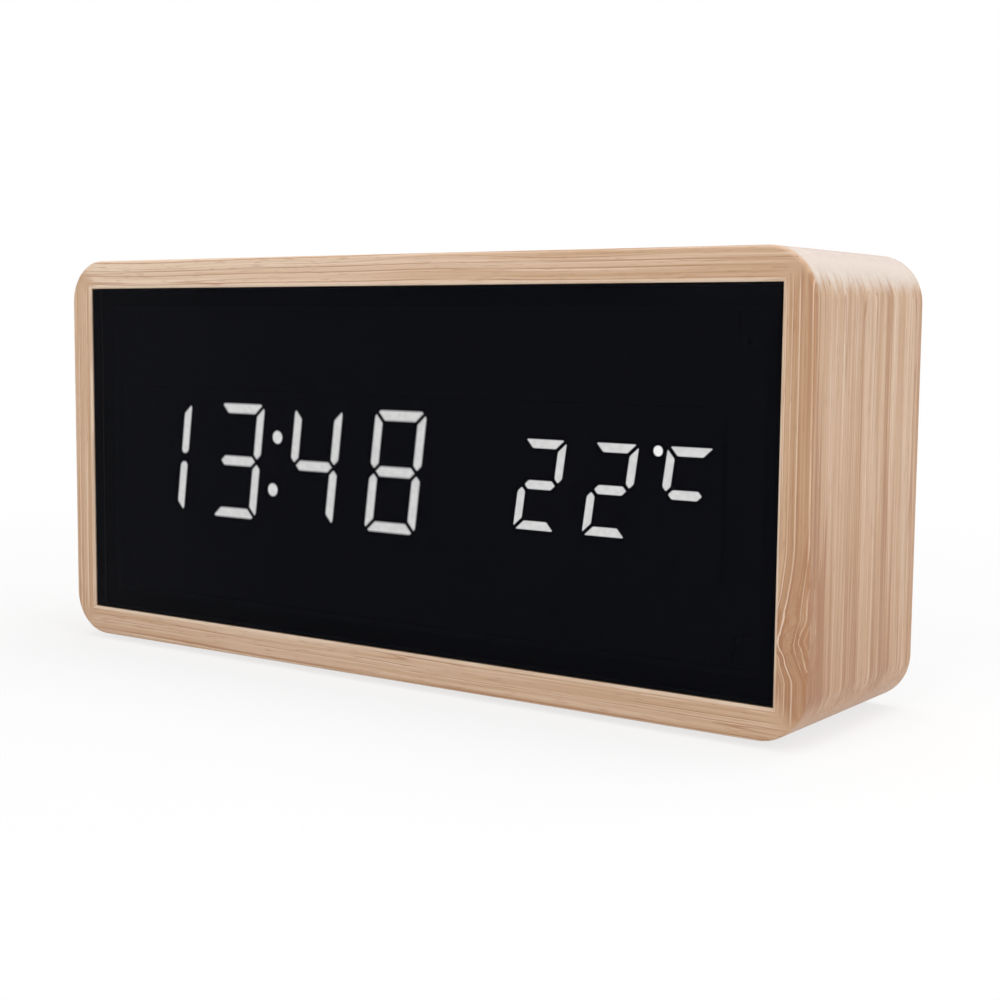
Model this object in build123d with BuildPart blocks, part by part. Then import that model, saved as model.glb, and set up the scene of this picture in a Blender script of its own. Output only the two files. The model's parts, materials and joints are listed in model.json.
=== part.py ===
from build123d import *

import os
from dataclasses import dataclass
from math import radians, tan

os.makedirs("parts", exist_ok=True)

# All lengths are in millimetres. X runs to the right as the clock is read, Y from its front
# to its back and Z up. The origin is on the table, under the middle of the clock.

# Wooden case
case_width = 150.0
case_height = 69.0
case_depth = 38.0
board_thickness = 5.0
corner_radius = 7.5
edge_round = 0.6
opening_chamfer = 0.3
cut_overrun = 1.0

# Feet
foot_diameter = 8.0
foot_height = 1.0
foot_edge = 0.2
foot_inset_x = 14.0
foot_inset_y = 8.0

# Front window and the tape that holds it
window_recess = 0.3
window_thickness = 2.0
window_clearance = 0.2
tape_thickness = 0.3
tape_inset = 0.4
tape_width = 2.6

# Display carrier, a plastic frame glued into the case
carrier_clearance = 0.15
carrier_wall = 1.5
ledge_thickness = 1.5
ledge_width = 4.0
post_diameter = 7.0
post_merge = 0.2
stake_diameter = 1.6
stake_clearance = 0.1
stake_head_diameter = 2.4
stake_head_height = 0.6
stake_inset_z = 12.85

# Reflector plate, with the wells that shape the digits
reflector_air_gap = 0.2
reflector_clearance = 0.2
flange_thickness = 1.5
well_depth = 6.0
block_border_x = 2.0
block_border_z = 2.2
diffuser_thickness = 1.5
boss_diameter = 5.0
boss_inset_x = 11.35
boss_inset_z = 5.85

# Digits, as they stand on the reflector plate
time_centre_x_share = -0.1875
time_centre_z = -0.6
time_pitch_share = 0.12643
time_width_share = 0.61864
time_shown = ["bc", "abcdg", "bcfg", "abcdefg"]
colon_dot_diameter = 2.5
colon_spacing = 9.1
temperature_centre_x_share = 0.296
temperature_centre_z = -0.95
temperature_pitch_share = 0.09036
temperature_width_share = 0.6245
temperature_shown = ["abdeg", "abdeg", "afg"]
degree_dot_diameter = 1.65
degree_dot_x_share = 0.5692
degree_dot_z = 6.25

# Display board and what is soldered to it
board_margin_x = 7.85
board_margin_z = 1.85
pcb_thickness = 1.6
led_length = 1.2
led_width = 0.7
led_height = 0.6
chip_width = 7.5
chip_height = 2.3
chip_chamfer = 0.3
chip_lead_width = 0.4
chip_lead_pitch = 1.27
chip_lead_reach = 1.4
chip_lead_thickness = 0.3
controller_lead_count = 14
controller_inset = (30.5, 8.0)
driver_lead_count = 12
driver_inset = (46.5, 9.0)
crystal_length = 8.0
crystal_diameter = 3.0
crystal_inset = (42.5, 18.0)
capacitor_diameter = 6.3
capacitor_height = 7.0
capacitor_round = 0.5
capacitor_x_share = -0.112
capacitor_inset_z = 15.0
resistor_length = 1.6
resistor_width = 0.8
resistor_height = 0.5
resistor_pitch = 2.4
resistor_count = 8
resistor_inset = (50.0, 12.0)
buzzer_diameter = 12.0
buzzer_height = 8.5
buzzer_port_diameter = 2.0
buzzer_port_depth = 3.0
buzzer_x_share = -0.2355
buzzer_inset_z = 7.5
backup_cell_diameter = 20.0
backup_cell_thickness = 3.2
backup_cell_edge = 0.4
holder_wall = 1.5
holder_floor = 1.0
holder_gap = 0.1
holder_inset = (20.5, 13.0)
sensor_bead_diameter = 2.4
sensor_lead_diameter = 0.5
sensor_lead_length = 13.0
sensor_lead_spacing = 1.2
sensor_x_share = 0.0758
sensor_inset_z = 6.5
socket_width = 4.5
socket_wall = 0.8
socket_pocket_share = 0.55
ribbon_free_run = 4.4
ribbon_socket_length = 12.0
ribbon_socket_z = 2.5
battery_socket_length = 8.0
battery_socket_inset = 2.8

# Rear cover
cover_thickness = 2.5
cover_inset = 1.5
cover_clearance = 0.3
cover_corner = 1.0
cover_edge = 0.3
bay_wall = 1.2
bay_inset = 11.1
sound_hole_diameter = 1.5
sound_hole_pitch = 3.0
sound_hole_count = 6
vent_length = 7.0
vent_width = 1.0
vent_pitch = 2.4
vent_count = 3

# Screws: head diameter, head height, shank diameter and shank length
cover_screw = (4.8, 1.5, 2.6, 10.0)
board_screw = (3.6, 1.2, 2.0, 4.0)
screw_clearance = 0.05
screw_passage = 0.15
screw_head_gap = 0.3
screw_head_sink = 0.2
screw_head_edge = 0.3
recess_length_share = 0.6
recess_width_share = 0.16
recess_depth_share = 0.55

# Battery cells, their contacts and their leads
cell_diameter = 10.5
cell_length = 44.5
cell_edge = 0.6
nub_diameter = 3.8
nub_height = 1.0
cell_gap = 0.5
cell_side_gap = 0.45
cell_floor_gap = 0.2
cell_door_gap = 0.3
cell_count = 3
contact_thickness = 0.4
contact_width = 7.0
contact_height = 8.0
spring_reach = 5.55
spring_leaf = 0.7
spring_gap = 0.05
lead_diameter = 1.2
lead_pitch = 2.5
lead_inset = 2.8
lead_standoff = 3.3

# Battery door and its hinge
door_thickness = 1.5
door_seat_gap = 0.1
door_overlap = 1.5
door_gap = 0.3
door_edge = 0.2
hinge_edge_gap = 0.6
hinge_overlap = 1.0
knuckle_diameter = 2.4
knuckle_length = 24.0
knuckle_gap = 0.3
trunnion_diameter = 1.4
trunnion_length = 1.5
trunnion_clearance = 0.05
trunnion_end_gap = 0.2
hinge_rib = 1.2
latch_width = 10.0
latch_length = 8.0
latch_slot = 0.8
grip_ridge = 0.8
grip_ridge_height = 0.4
grip_pitch = 1.8
grip_count = 3
scoop_width = 14.0
scoop_reach = 4.5
scoop_depth = 1.0
scoop_round = 2.0

# Push-buttons, their switches and the board that holds them
button_names = ["set_button", "up_button", "down_button"]
button_x_share = -0.019
button_pitch = 14.0
button_inset_z = 16.85
button_diameter = 7.0
button_clearance = 0.2
button_proud = 1.0
button_round = 0.5
button_flange_diameter = 9.4
button_flange_thickness = 0.8
button_flange_gap = 0.1
button_stem_diameter = 3.0
switch_size = 6.0
switch_height = 3.5
switch_pocket = 1.0
plunger_diameter = 3.4
plunger_clearance = 0.15
plunger_sink = 0.5
plunger_proud = 0.8
key_board_thickness = 1.2
key_board_height = 14.0
key_board_margin = 3.5
key_board_gap = 1.5
key_post_diameter = 5.0
key_post_length = 7.3
key_post_offset = 8.0
key_socket_length = 12.0

# Power inlet
inlet_x_share = 0.2517
inlet_inset_z = 12.85
inlet_width = 7.6
inlet_height = 2.7
inlet_lower_share = 0.78
inlet_shoulder_share = 0.55
inlet_wall = 0.3
inlet_length = 5.6
inlet_setback = 0.3
inlet_slot_gap = 0.3
inlet_relief_width = 12.0
inlet_relief_height = 7.5
inlet_relief_depth = 1.2
inlet_relief_round = 2.0
tongue_width = 3.6
tongue_thickness = 0.7
tongue_length = 3.4
tongue_base = 1.2
power_board_width = 16.0
power_board_length = 12.0
power_board_thickness = 1.2
power_board_gap = 0.2
rail_width = 2.5
rail_length = 10.0
rail_lip = 1.5
groove_depth = 1.0
groove_gap = 0.05
ribbon_width = 10.0
ribbon_thickness = 0.9
power_lead_width = 3.0
power_lead_thickness = 1.3
power_lead_rise = 4.0
cable_bend_share = 0.8

# Places that follow from these. Depths are counted from the case's front edge.
case_middle = foot_height + case_height / 2
opening_width = case_width - 2 * board_thickness
opening_height = case_height - 2 * board_thickness
window_back = window_recess + window_thickness
window_width = opening_width - 2 * window_clearance
window_height = opening_height - 2 * window_clearance
carrier_front = window_back + tape_thickness
carrier_width = opening_width - 2 * carrier_clearance
carrier_height = opening_height - 2 * carrier_clearance
cavity_width = carrier_width - 2 * carrier_wall
cavity_height = carrier_height - 2 * carrier_wall
ledge_back = carrier_front + ledge_thickness
flange_back = ledge_back + flange_thickness
block_front = window_back + reflector_air_gap
pcb_front = block_front + well_depth
pcb_back = pcb_front + pcb_thickness
cover_back = case_depth - cover_inset
cover_front = cover_back - cover_thickness
post_place_x = cavity_width / 2 + post_merge - post_diameter / 2
post_place_z = cavity_height / 2 + post_merge - post_diameter / 2
cell_pitch = cell_diameter + cell_gap
bay_length = cell_length + contact_thickness + spring_reach + spring_gap
bay_height = cell_pitch * (cell_count - 1) + cell_diameter + 2 * cell_side_gap
bay_left = bay_inset - cavity_width / 2
bay_right = bay_left + bay_length
bay_centre_x = bay_left + bay_length / 2
door_front = cover_back - door_thickness
seat_depth = door_front - door_seat_gap
cell_depth = door_front - cell_door_gap - cell_diameter / 2
bay_floor = cell_depth - cell_diameter / 2 - cell_floor_gap
door_left = bay_left - hinge_overlap
door_right = bay_right + door_overlap
door_height = bay_height + 2 * door_overlap
hinge_x = door_left - hinge_edge_gap - knuckle_diameter / 2 - knuckle_gap
hinge_depth = cover_back - knuckle_diameter / 2
key_board_back = cover_front - key_post_length
key_board_front = key_board_back - key_board_thickness
plunger_back = key_board_back + switch_height + plunger_proud
flange_rear = cover_front - button_flange_gap
side_left = bay_right + bay_wall
side_room = cavity_width / 2 - side_left
side_middle = side_left + side_room / 2
inlet_x = side_middle + side_room * inlet_x_share
inlet_z = inlet_inset_z - cavity_height / 2
power_board_top = inlet_z - inlet_height / 2
power_board_back = cover_front - power_board_gap
power_board_front = power_board_back - power_board_length
board_width = cavity_width - 2 * board_margin_x
board_height = cavity_height - 2 * board_margin_z
boss_place_x = cavity_width / 2 - boss_inset_x
boss_place_z = cavity_height / 2 - boss_inset_z
stake_spacing = cavity_height - 2 * stake_inset_z
socket_height = (key_board_front - pcb_back - ribbon_free_run) / 2
socket_pocket = socket_height * socket_pocket_share
key_span = side_room - 2 * (key_post_offset + key_board_margin + key_board_gap)
key_pitch = min(button_pitch, key_span / (len(button_names) - 1))
button_x = side_middle + side_room * button_x_share
button_z = cavity_height / 2 - button_inset_z
button_xs = [button_x - key_pitch, button_x, button_x + key_pitch]
time_centre_x = opening_width * time_centre_x_share
time_pitch = opening_width * time_pitch_share
temperature_centre_x = opening_width * temperature_centre_x_share
temperature_pitch = opening_width * temperature_pitch_share


def from_board_corner(inset, side_z):
    """A place in from the display board's left edge and its top (1) or bottom (-1) edge."""
    inset_x, inset_z = inset
    return inset_x - board_width / 2, side_z * (board_height / 2 - inset_z)


def beside_bay(x_share, inset_z):
    """A place in the room beside the bay, at an inset from the board's bottom edge."""
    return side_middle + side_room * x_share, inset_z - board_height / 2


inlet_place = (inlet_x, inlet_z)
controller_place = from_board_corner(controller_inset, 1)
driver_place = from_board_corner(driver_inset, -1)
crystal_place = from_board_corner(crystal_inset, 1)
resistor_place = from_board_corner(resistor_inset, 1)
holder_place = from_board_corner(holder_inset, -1)
capacitor_place = beside_bay(capacitor_x_share, capacitor_inset_z)
buzzer_place = beside_bay(buzzer_x_share, buzzer_inset_z)
sensor_place = beside_bay(sensor_x_share, sensor_inset_z)
ribbon_socket_place = (button_x, ribbon_socket_z)
battery_socket_place = (bay_right - battery_socket_inset, 0)


def at_depth(depth):
    """The upright plane this far behind the case's front edge, facing the front."""
    return Plane((0, depth - case_depth / 2, case_middle), x_dir=(1, 0, 0), z_dir=(0, -1, 0))


def at_height(height):
    """The level plane this far above the case's middle."""
    return Plane.XY.offset(case_middle + height)


def depth_y(depth):
    """The Y of a place this far behind the case's front edge."""
    return depth - case_depth / 2


def save(name, part):
    """Label a finished piece and write it."""
    part.label = name
    export_step(part, f"parts/{name}.step")


# Case: one rounded ring of bamboo board, cut on its four mitres
with BuildPart() as case_ring:
    with BuildSketch(at_depth(0)):
        RectangleRounded(case_width, case_height, corner_radius)
    extrude(amount=-case_depth)
    fillet(case_ring.faces().sort_by(Axis.Y)[0].edges(), edge_round)
    fillet(case_ring.faces().sort_by(Axis.Y)[-1].edges(), edge_round)
    with BuildSketch(at_depth(0)):
        Rectangle(opening_width, opening_height)
    extrude(amount=-case_depth, mode=Mode.SUBTRACT)
    chamfer(case_ring.faces().sort_by(Axis.Y)[0].inner_wires()[0].edges(), opening_chamfer)

mitre_outer_x = case_width / 2 + cut_overrun
mitre_outer_z = case_height / 2 + cut_overrun
mitre_inner_x = opening_width / 2 - cut_overrun
mitre_inner_z = opening_height / 2 - cut_overrun
mitre_outlines = {
    "top_panel": [(1, 1), (-1, 1)],
    "bottom_panel": [(-1, -1), (1, -1)],
    "left_panel": [(-1, 1), (-1, -1)],
    "right_panel": [(1, -1), (1, 1)],
}
for name, ends in mitre_outlines.items():
    outer = [(side_x * mitre_outer_x, side_z * mitre_outer_z) for side_x, side_z in ends]
    inner = [(side_x * mitre_inner_x, side_z * mitre_inner_z) for side_x, side_z in reversed(ends)]
    with BuildPart() as panel:
        add(case_ring.part)
        with BuildSketch(at_depth(-cut_overrun)):
            Polygon(*outer, *inner, align=None)
        extrude(amount=-(case_depth + 2 * cut_overrun), mode=Mode.INTERSECT)
    save(name, panel.part)

with BuildPart() as feet:
    with BuildSketch():
        with GridLocations(case_width - 2 * foot_inset_x, case_depth - 2 * foot_inset_y, 2, 2):
            Circle(foot_diameter / 2)
    extrude(amount=foot_height)
    chamfer(feet.faces().group_by(Axis.Z)[0].edges(), foot_edge)
feet.part.label = "feet"
export_step(feet.part, "parts/feet.step")

# Front window and tape
with BuildPart() as front_window:
    with BuildSketch(at_depth(window_recess)):
        Rectangle(window_width, window_height)
    extrude(amount=-window_thickness)
front_window.part.label = "front_window"
export_step(front_window.part, "parts/front_window.step")

with BuildPart() as window_tape:
    tape_outer = (window_width - 2 * tape_inset, window_height - 2 * tape_inset)
    with BuildSketch(at_depth(window_back)):
        Rectangle(*tape_outer)
        Rectangle(*[side - 2 * tape_width for side in tape_outer], mode=Mode.SUBTRACT)
    extrude(amount=-tape_thickness)
window_tape.part.label = "window_tape"
export_step(window_tape.part, "parts/window_tape.step")

# Display carrier: an open box with a front ledge, four screw posts and four melted stakes
stake_x = (carrier_width - ledge_width - carrier_wall) / 2
cover_head, cover_head_height, cover_shank, cover_shank_length = cover_screw
with BuildPart() as display_carrier:
    with BuildSketch(at_depth(carrier_front)):
        Rectangle(carrier_width, carrier_height)
        Rectangle(
            carrier_width - 2 * ledge_width,
            carrier_height - 2 * ledge_width,
            mode=Mode.SUBTRACT,
        )
    extrude(amount=-ledge_thickness)
    with BuildSketch(at_depth(ledge_back)):
        Rectangle(carrier_width, carrier_height)
        Rectangle(cavity_width, cavity_height, mode=Mode.SUBTRACT)
        with GridLocations(2 * post_place_x, 2 * post_place_z, 2, 2):
            Circle(post_diameter / 2)
    extrude(amount=-(cover_front - ledge_back))
    with BuildSketch(at_depth(ledge_back)):
        with GridLocations(2 * stake_x, stake_spacing, 2, 2):
            Circle(stake_diameter / 2)
    extrude(amount=-flange_thickness)
    with BuildSketch(at_depth(flange_back)):
        with GridLocations(2 * stake_x, stake_spacing, 2, 2):
            Circle(stake_head_diameter / 2)
    extrude(amount=-stake_head_height)
    with BuildSketch(at_depth(cover_front)):
        with GridLocations(2 * post_place_x, 2 * post_place_z, 2, 2):
            Circle(cover_shank / 2 + screw_clearance)
    extrude(amount=cover_shank_length, mode=Mode.SUBTRACT)
display_carrier.part.label = "display_carrier"
export_step(display_carrier.part, "parts/display_carrier.step")


# Digits
mitre_share = 0.5**0.5


@dataclass(frozen=True)
class Digit:
    """A leaning seven-segment digit, with mitred joints between its segments."""

    width: float
    height: float
    stroke: float
    joint: float
    corner_clip: float
    tip_flat: float
    lean_share: float

    def outlines(self):
        """Each segment's outline, by its letter, about the digit's middle."""
        right, top, stroke = self.width / 2, self.height / 2, self.stroke
        back = self.joint * mitre_share
        near, far = (self.corner_clip - back) / 2, (self.corner_clip + back) / 2
        bar = [
            (stroke + back - right, top - stroke),
            (right - stroke - back, top - stroke),
            (right - far, top - near),
            (right - self.corner_clip, top),
            (self.corner_clip - right, top),
            (far - right, top - near),
        ]
        side = [
            (right - stroke, stroke / 2 + back),
            (right - stroke / 2 - self.tip_flat, back + self.tip_flat),
            (right - stroke / 2 + self.tip_flat, back + self.tip_flat),
            (right, stroke / 2 + back),
            (right, top - self.corner_clip),
            (right - near, top - far),
            (right - stroke, top - stroke - back),
        ]
        middle = [
            (right - stroke / 2 - back, 0),
            (right - stroke - back, stroke / 2),
            (stroke + back - right, stroke / 2),
            (stroke / 2 + back - right, 0),
            (stroke + back - right, -stroke / 2),
            (right - stroke - back, -stroke / 2),
        ]
        upright = {
            "a": bar,
            "b": side,
            "c": [(x, -z) for x, z in reversed(side)],
            "d": [(x, -z) for x, z in reversed(bar)],
            "e": [(-x, -z) for x, z in side],
            "f": [(-x, z) for x, z in reversed(side)],
            "g": middle,
        }
        return {
            letter: [(x + z * self.lean_share, z) for x, z in points]
            for letter, points in upright.items()
        }

    def centres(self):
        """The middle of each segment, by its letter."""
        side_x = (self.width - self.stroke) / 2
        bar_z = (self.height - self.stroke) / 2
        upright = {
            "a": (0, bar_z),
            "b": (side_x, bar_z / 2),
            "c": (side_x, -bar_z / 2),
            "d": (0, -bar_z),
            "e": (-side_x, -bar_z / 2),
            "f": (-side_x, bar_z / 2),
            "g": (0, 0),
        }
        return {letter: (x + z * self.lean_share, z) for letter, (x, z) in upright.items()}


time_digit = Digit(
    width=time_pitch * time_width_share,
    height=20.35,
    stroke=2.0,
    joint=0.3,
    corner_clip=1.1,
    tip_flat=0.2,
    lean_share=0.127,
)
temperature_digit = Digit(
    width=temperature_pitch * temperature_width_share,
    height=14.1,
    stroke=1.45,
    joint=0.55,
    corner_clip=0.7,
    tip_flat=0.1,
    lean_share=0.145,
)


def digit_row(centre_x, centre_z, pitch, shown):
    """Each digit's place and the letters of its lit segments."""
    first = centre_x - pitch * (len(shown) - 1) / 2
    return [((first + pitch * number, centre_z), lit) for number, lit in enumerate(shown)]


time_row = digit_row(time_centre_x, time_centre_z, time_pitch, time_shown)
temperature_row = digit_row(
    temperature_centre_x, temperature_centre_z, temperature_pitch, temperature_shown
)
colon_lean = colon_spacing / 2 * time_digit.lean_share
colon_places = [
    (time_centre_x + colon_lean, time_centre_z + colon_spacing / 2),
    (time_centre_x - colon_lean, time_centre_z - colon_spacing / 2),
]
degree_place = (
    temperature_centre_x
    + temperature_pitch * degree_dot_x_share
    + degree_dot_z * temperature_digit.lean_share,
    temperature_centre_z + degree_dot_z,
)


def draw_segments(digit, row, wanted):
    """Draw the segments of a row of digits: all of them, the lit ones or the dark ones."""
    for place, lit in row:
        for letter, outline in digit.outlines().items():
            if wanted == "all" or (wanted == "lit") == (letter in lit):
                with Locations(place):
                    Polygon(*outline, align=None)


for name, digit, row, wanted in (
    ("time_segments_lit", time_digit, time_row, "lit"),
    ("time_segments_unlit", time_digit, time_row, "dark"),
    ("temperature_segments_lit", temperature_digit, temperature_row, "lit"),
    ("temperature_segments_unlit", temperature_digit, temperature_row, "dark"),
):
    with BuildPart() as segments:
        with BuildSketch(at_depth(block_front)):
            draw_segments(digit, row, wanted)
        extrude(amount=-diffuser_thickness)
    save(name, segments.part)

for name, places, diameter in (
    ("colon_dots", colon_places, colon_dot_diameter),
    ("degree_dot", [degree_place], degree_dot_diameter),
):
    with BuildPart() as dots:
        with BuildSketch(at_depth(block_front)):
            with Locations(*places):
                Circle(diameter / 2)
        extrude(amount=-diffuser_thickness)
    save(name, dots.part)

# Reflector plate: a flange behind the carrier's ledge, with a thick block round the digits
block_left = time_row[0][0][0] - time_digit.width / 2 - block_border_x
block_right = temperature_row[-1][0][0] + temperature_digit.width / 2 + block_border_x
block_height = time_digit.height + 2 * block_border_z
post_notch = post_diameter + 2 * reflector_clearance
_, _, board_shank, board_shank_length = board_screw
boss_places = [(x * boss_place_x, z * boss_place_z) for x in (-1, 1) for z in (-1, 1)]
with BuildPart() as reflector_plate:
    with BuildSketch(at_depth(ledge_back)):
        Rectangle(cavity_width - 2 * reflector_clearance, cavity_height - 2 * reflector_clearance)
        with GridLocations(2 * post_place_x, 2 * post_place_z, 2, 2):
            Rectangle(post_notch, post_notch, mode=Mode.SUBTRACT)
        with GridLocations(2 * stake_x, stake_spacing, 2, 2):
            Circle(stake_diameter / 2 + stake_clearance, mode=Mode.SUBTRACT)
    extrude(amount=-flange_thickness)
    with BuildSketch(at_depth(block_front)):
        with Locations(((block_left + block_right) / 2, time_centre_z)):
            Rectangle(block_right - block_left, block_height)
    extrude(amount=-well_depth)
    with BuildSketch(at_depth(flange_back)):
        with Locations(*boss_places):
            Circle(boss_diameter / 2)
    extrude(amount=-(pcb_front - flange_back))
    with BuildSketch(at_depth(pcb_front)):
        with Locations(*boss_places):
            Circle(board_shank / 2 + screw_clearance)
    extrude(amount=board_shank_length - pcb_thickness, mode=Mode.SUBTRACT)
    with BuildSketch(at_depth(block_front)):
        draw_segments(time_digit, time_row, "all")
        draw_segments(temperature_digit, temperature_row, "all")
        with Locations(*colon_places):
            Circle(colon_dot_diameter / 2)
        with Locations(degree_place):
            Circle(degree_dot_diameter / 2)
    extrude(amount=-well_depth, mode=Mode.SUBTRACT)
reflector_plate.part.label = "reflector_plate"
export_step(reflector_plate.part, "parts/reflector_plate.step")

# Display board, with a light under each segment
upright_letters = "bcef"
with BuildPart() as display_board:
    with BuildSketch(at_depth(pcb_front)):
        Rectangle(board_width, board_height)
        with Locations(*boss_places):
            Circle(board_shank / 2 + screw_passage, mode=Mode.SUBTRACT)
    extrude(amount=-pcb_thickness)
display_board.part.label = "display_board"
export_step(display_board.part, "parts/display_board.step")

with BuildPart() as segment_leds:
    with BuildSketch(at_depth(pcb_front)):
        for digit, row in ((time_digit, time_row), (temperature_digit, temperature_row)):
            for (place_x, place_z), lit in row:
                for letter, (x, z) in digit.centres().items():
                    turned = letter in upright_letters
                    with Locations((place_x + x, place_z + z)):
                        Rectangle(
                            led_width if turned else led_length,
                            led_length if turned else led_width,
                        )
        with Locations(*colon_places, degree_place):
            Rectangle(led_length, led_width)
    extrude(amount=led_height)
segment_leds.part.label = "segment_leds"
export_step(segment_leds.part, "parts/segment_leds.step")


def screws(places, seat, size, way):
    """Cross-slotted pan screws seated at a depth, with the shank forward (1) or back (-1)."""
    head, head_height, shank, shank_length = size
    with BuildPart() as group:
        with BuildSketch(at_depth(seat)):
            with Locations(*places):
                Circle(head / 2)
        extrude(amount=-way * head_height)
        heads = group.faces().sort_by(Axis.Y, reverse=way < 0)[-len(places):]
        chamfer(heads.edges(), screw_head_edge)
        with BuildSketch(at_depth(seat)):
            with Locations(*places):
                Circle(shank / 2)
        extrude(amount=way * shank_length)
        with BuildSketch(at_depth(seat + way * head_height)):
            with Locations(*places):
                Rectangle(head * recess_length_share, head * recess_width_share)
                Rectangle(head * recess_width_share, head * recess_length_share)
        extrude(amount=way * head_height * recess_depth_share, mode=Mode.SUBTRACT)
    return group.part


save("display_board_screws", screws(boss_places, pcb_back, board_screw, 1))


# Parts on the back of the display board
def chip(place, lead_count):
    """A small-outline chip with a row of leads above and below its body."""
    with BuildPart() as body:
        with BuildSketch(at_depth(pcb_back + chip_lead_thickness)):
            with Locations(place):
                Rectangle(lead_count * chip_lead_pitch, chip_width)
        extrude(amount=-(chip_height - chip_lead_thickness))
        chamfer(body.faces().sort_by(Axis.Y)[-1].edges(), chip_chamfer)
        with BuildSketch(at_depth(pcb_back)):
            with Locations(place):
                with GridLocations(chip_lead_pitch, 0, lead_count, 1):
                    Rectangle(chip_lead_width, chip_width + 2 * chip_lead_reach)
        extrude(amount=-chip_lead_thickness)
    return body.part


save("clock_controller", chip(controller_place, controller_lead_count))
save("led_driver", chip(driver_place, driver_lead_count))

with BuildPart() as crystal:
    crystal_x, crystal_z = crystal_place
    with BuildSketch(Plane.YZ.offset(crystal_x - crystal_length / 2)):
        with Locations((depth_y(pcb_back) + crystal_diameter / 2, case_middle + crystal_z)):
            Circle(crystal_diameter / 2)
    extrude(amount=crystal_length)
crystal.part.label = "crystal"
export_step(crystal.part, "parts/crystal.step")

with BuildPart() as filter_capacitor:
    with BuildSketch(at_depth(pcb_back)):
        with Locations(capacitor_place):
            Circle(capacitor_diameter / 2)
    extrude(amount=-capacitor_height)
    fillet(filter_capacitor.faces().sort_by(Axis.Y)[-1].edges(), capacitor_round)
filter_capacitor.part.label = "filter_capacitor"
export_step(filter_capacitor.part, "parts/filter_capacitor.step")

with BuildPart() as chip_resistors:
    with BuildSketch(at_depth(pcb_back)):
        with Locations(resistor_place):
            with GridLocations(resistor_pitch, 0, resistor_count, 1):
                Rectangle(resistor_width, resistor_length)
    extrude(amount=-resistor_height)
chip_resistors.part.label = "chip_resistors"
export_step(chip_resistors.part, "parts/chip_resistors.step")

with BuildPart() as buzzer:
    with BuildSketch(at_depth(pcb_back)):
        with Locations(buzzer_place):
            Circle(buzzer_diameter / 2)
    extrude(amount=-buzzer_height)
    with BuildSketch(at_depth(pcb_back + buzzer_height)):
        with Locations(buzzer_place):
            Circle(buzzer_port_diameter / 2)
    extrude(amount=buzzer_port_depth, mode=Mode.SUBTRACT)
buzzer.part.label = "buzzer"
export_step(buzzer.part, "parts/buzzer.step")

with BuildPart() as cell_holder:
    holder_depth = holder_floor + backup_cell_thickness
    with BuildSketch(at_depth(pcb_back)):
        with Locations(holder_place):
            Circle(backup_cell_diameter / 2 + holder_gap + holder_wall)
    extrude(amount=-holder_depth)
    with BuildSketch(at_depth(pcb_back + holder_depth)):
        with Locations(holder_place):
            Circle(backup_cell_diameter / 2 + holder_gap)
    extrude(amount=backup_cell_thickness, mode=Mode.SUBTRACT)
cell_holder.part.label = "cell_holder"
export_step(cell_holder.part, "parts/cell_holder.step")

with BuildPart() as backup_cell:
    with BuildSketch(at_depth(pcb_back + holder_floor)):
        with Locations(holder_place):
            Circle(backup_cell_diameter / 2)
    extrude(amount=-backup_cell_thickness)
    chamfer(backup_cell.faces().sort_by(Axis.Y)[0].edges(), backup_cell_edge)
backup_cell.part.label = "backup_cell"
export_step(backup_cell.part, "parts/backup_cell.step")

with BuildPart() as temperature_sensor:
    sensor_x, sensor_z = sensor_place
    with BuildSketch(at_depth(pcb_back)):
        with Locations(sensor_place):
            with GridLocations(sensor_lead_spacing, 0, 2, 1):
                Circle(sensor_lead_diameter / 2)
    extrude(amount=-sensor_lead_length)
    with Locations((sensor_x, depth_y(pcb_back + sensor_lead_length), case_middle + sensor_z)):
        Sphere(sensor_bead_diameter / 2)
temperature_sensor.part.label = "temperature_sensor"
export_step(temperature_sensor.part, "parts/temperature_sensor.step")


def cable_socket(seat, way, place, size):
    """A box header on a board, open at its outer end, standing back (1) or forward (-1)."""
    width, height = size
    with BuildPart() as socket:
        with BuildSketch(at_depth(seat)):
            with Locations(place):
                Rectangle(width, height)
        extrude(amount=-way * socket_height)
        with BuildSketch(at_depth(seat + way * socket_height)):
            with Locations(place):
                Rectangle(width - 2 * socket_wall, height - 2 * socket_wall)
        extrude(amount=way * socket_pocket, mode=Mode.SUBTRACT)
    return socket.part


ribbon_x, ribbon_start_z = ribbon_socket_place
ribbon_socket_size = (ribbon_socket_length, socket_width)
battery_socket_size = (socket_width, battery_socket_length)
save(
    "display_ribbon_socket",
    cable_socket(pcb_back, 1, ribbon_socket_place, ribbon_socket_size),
)
save(
    "battery_lead_socket",
    cable_socket(pcb_back, 1, battery_socket_place, battery_socket_size),
)
save(
    "key_ribbon_socket",
    cable_socket(
        key_board_front, -1, (ribbon_x, button_z), (key_socket_length, socket_width)
    ),
)


def flat_cable(x, size, held, start, end):
    """A flat cable in an S between two depths and heights, its ends held straight."""
    (start_depth, start_z), (end_depth, end_z) = start, end
    middle_depth = (start_depth + end_depth) / 2
    free_run = (end_depth - start_depth) / 2 - held
    bend = cable_bend_share * min(free_run, abs(end_z - start_z) / 2)
    side = Plane.YZ.offset(x)
    with BuildPart() as cable:
        with BuildLine(side) as route:
            FilletPolyline(
                (depth_y(start_depth), case_middle + start_z),
                (depth_y(middle_depth), case_middle + start_z),
                (depth_y(middle_depth), case_middle + end_z),
                (depth_y(end_depth), case_middle + end_z),
                radius=bend,
            )
        with BuildSketch(
            Plane(
                (x, depth_y(start_depth), case_middle + start_z),
                x_dir=(1, 0, 0),
                z_dir=(0, 1, 0),
            )
        ):
            Rectangle(*size)
        sweep(path=route.wire())
    return cable.part


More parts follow.
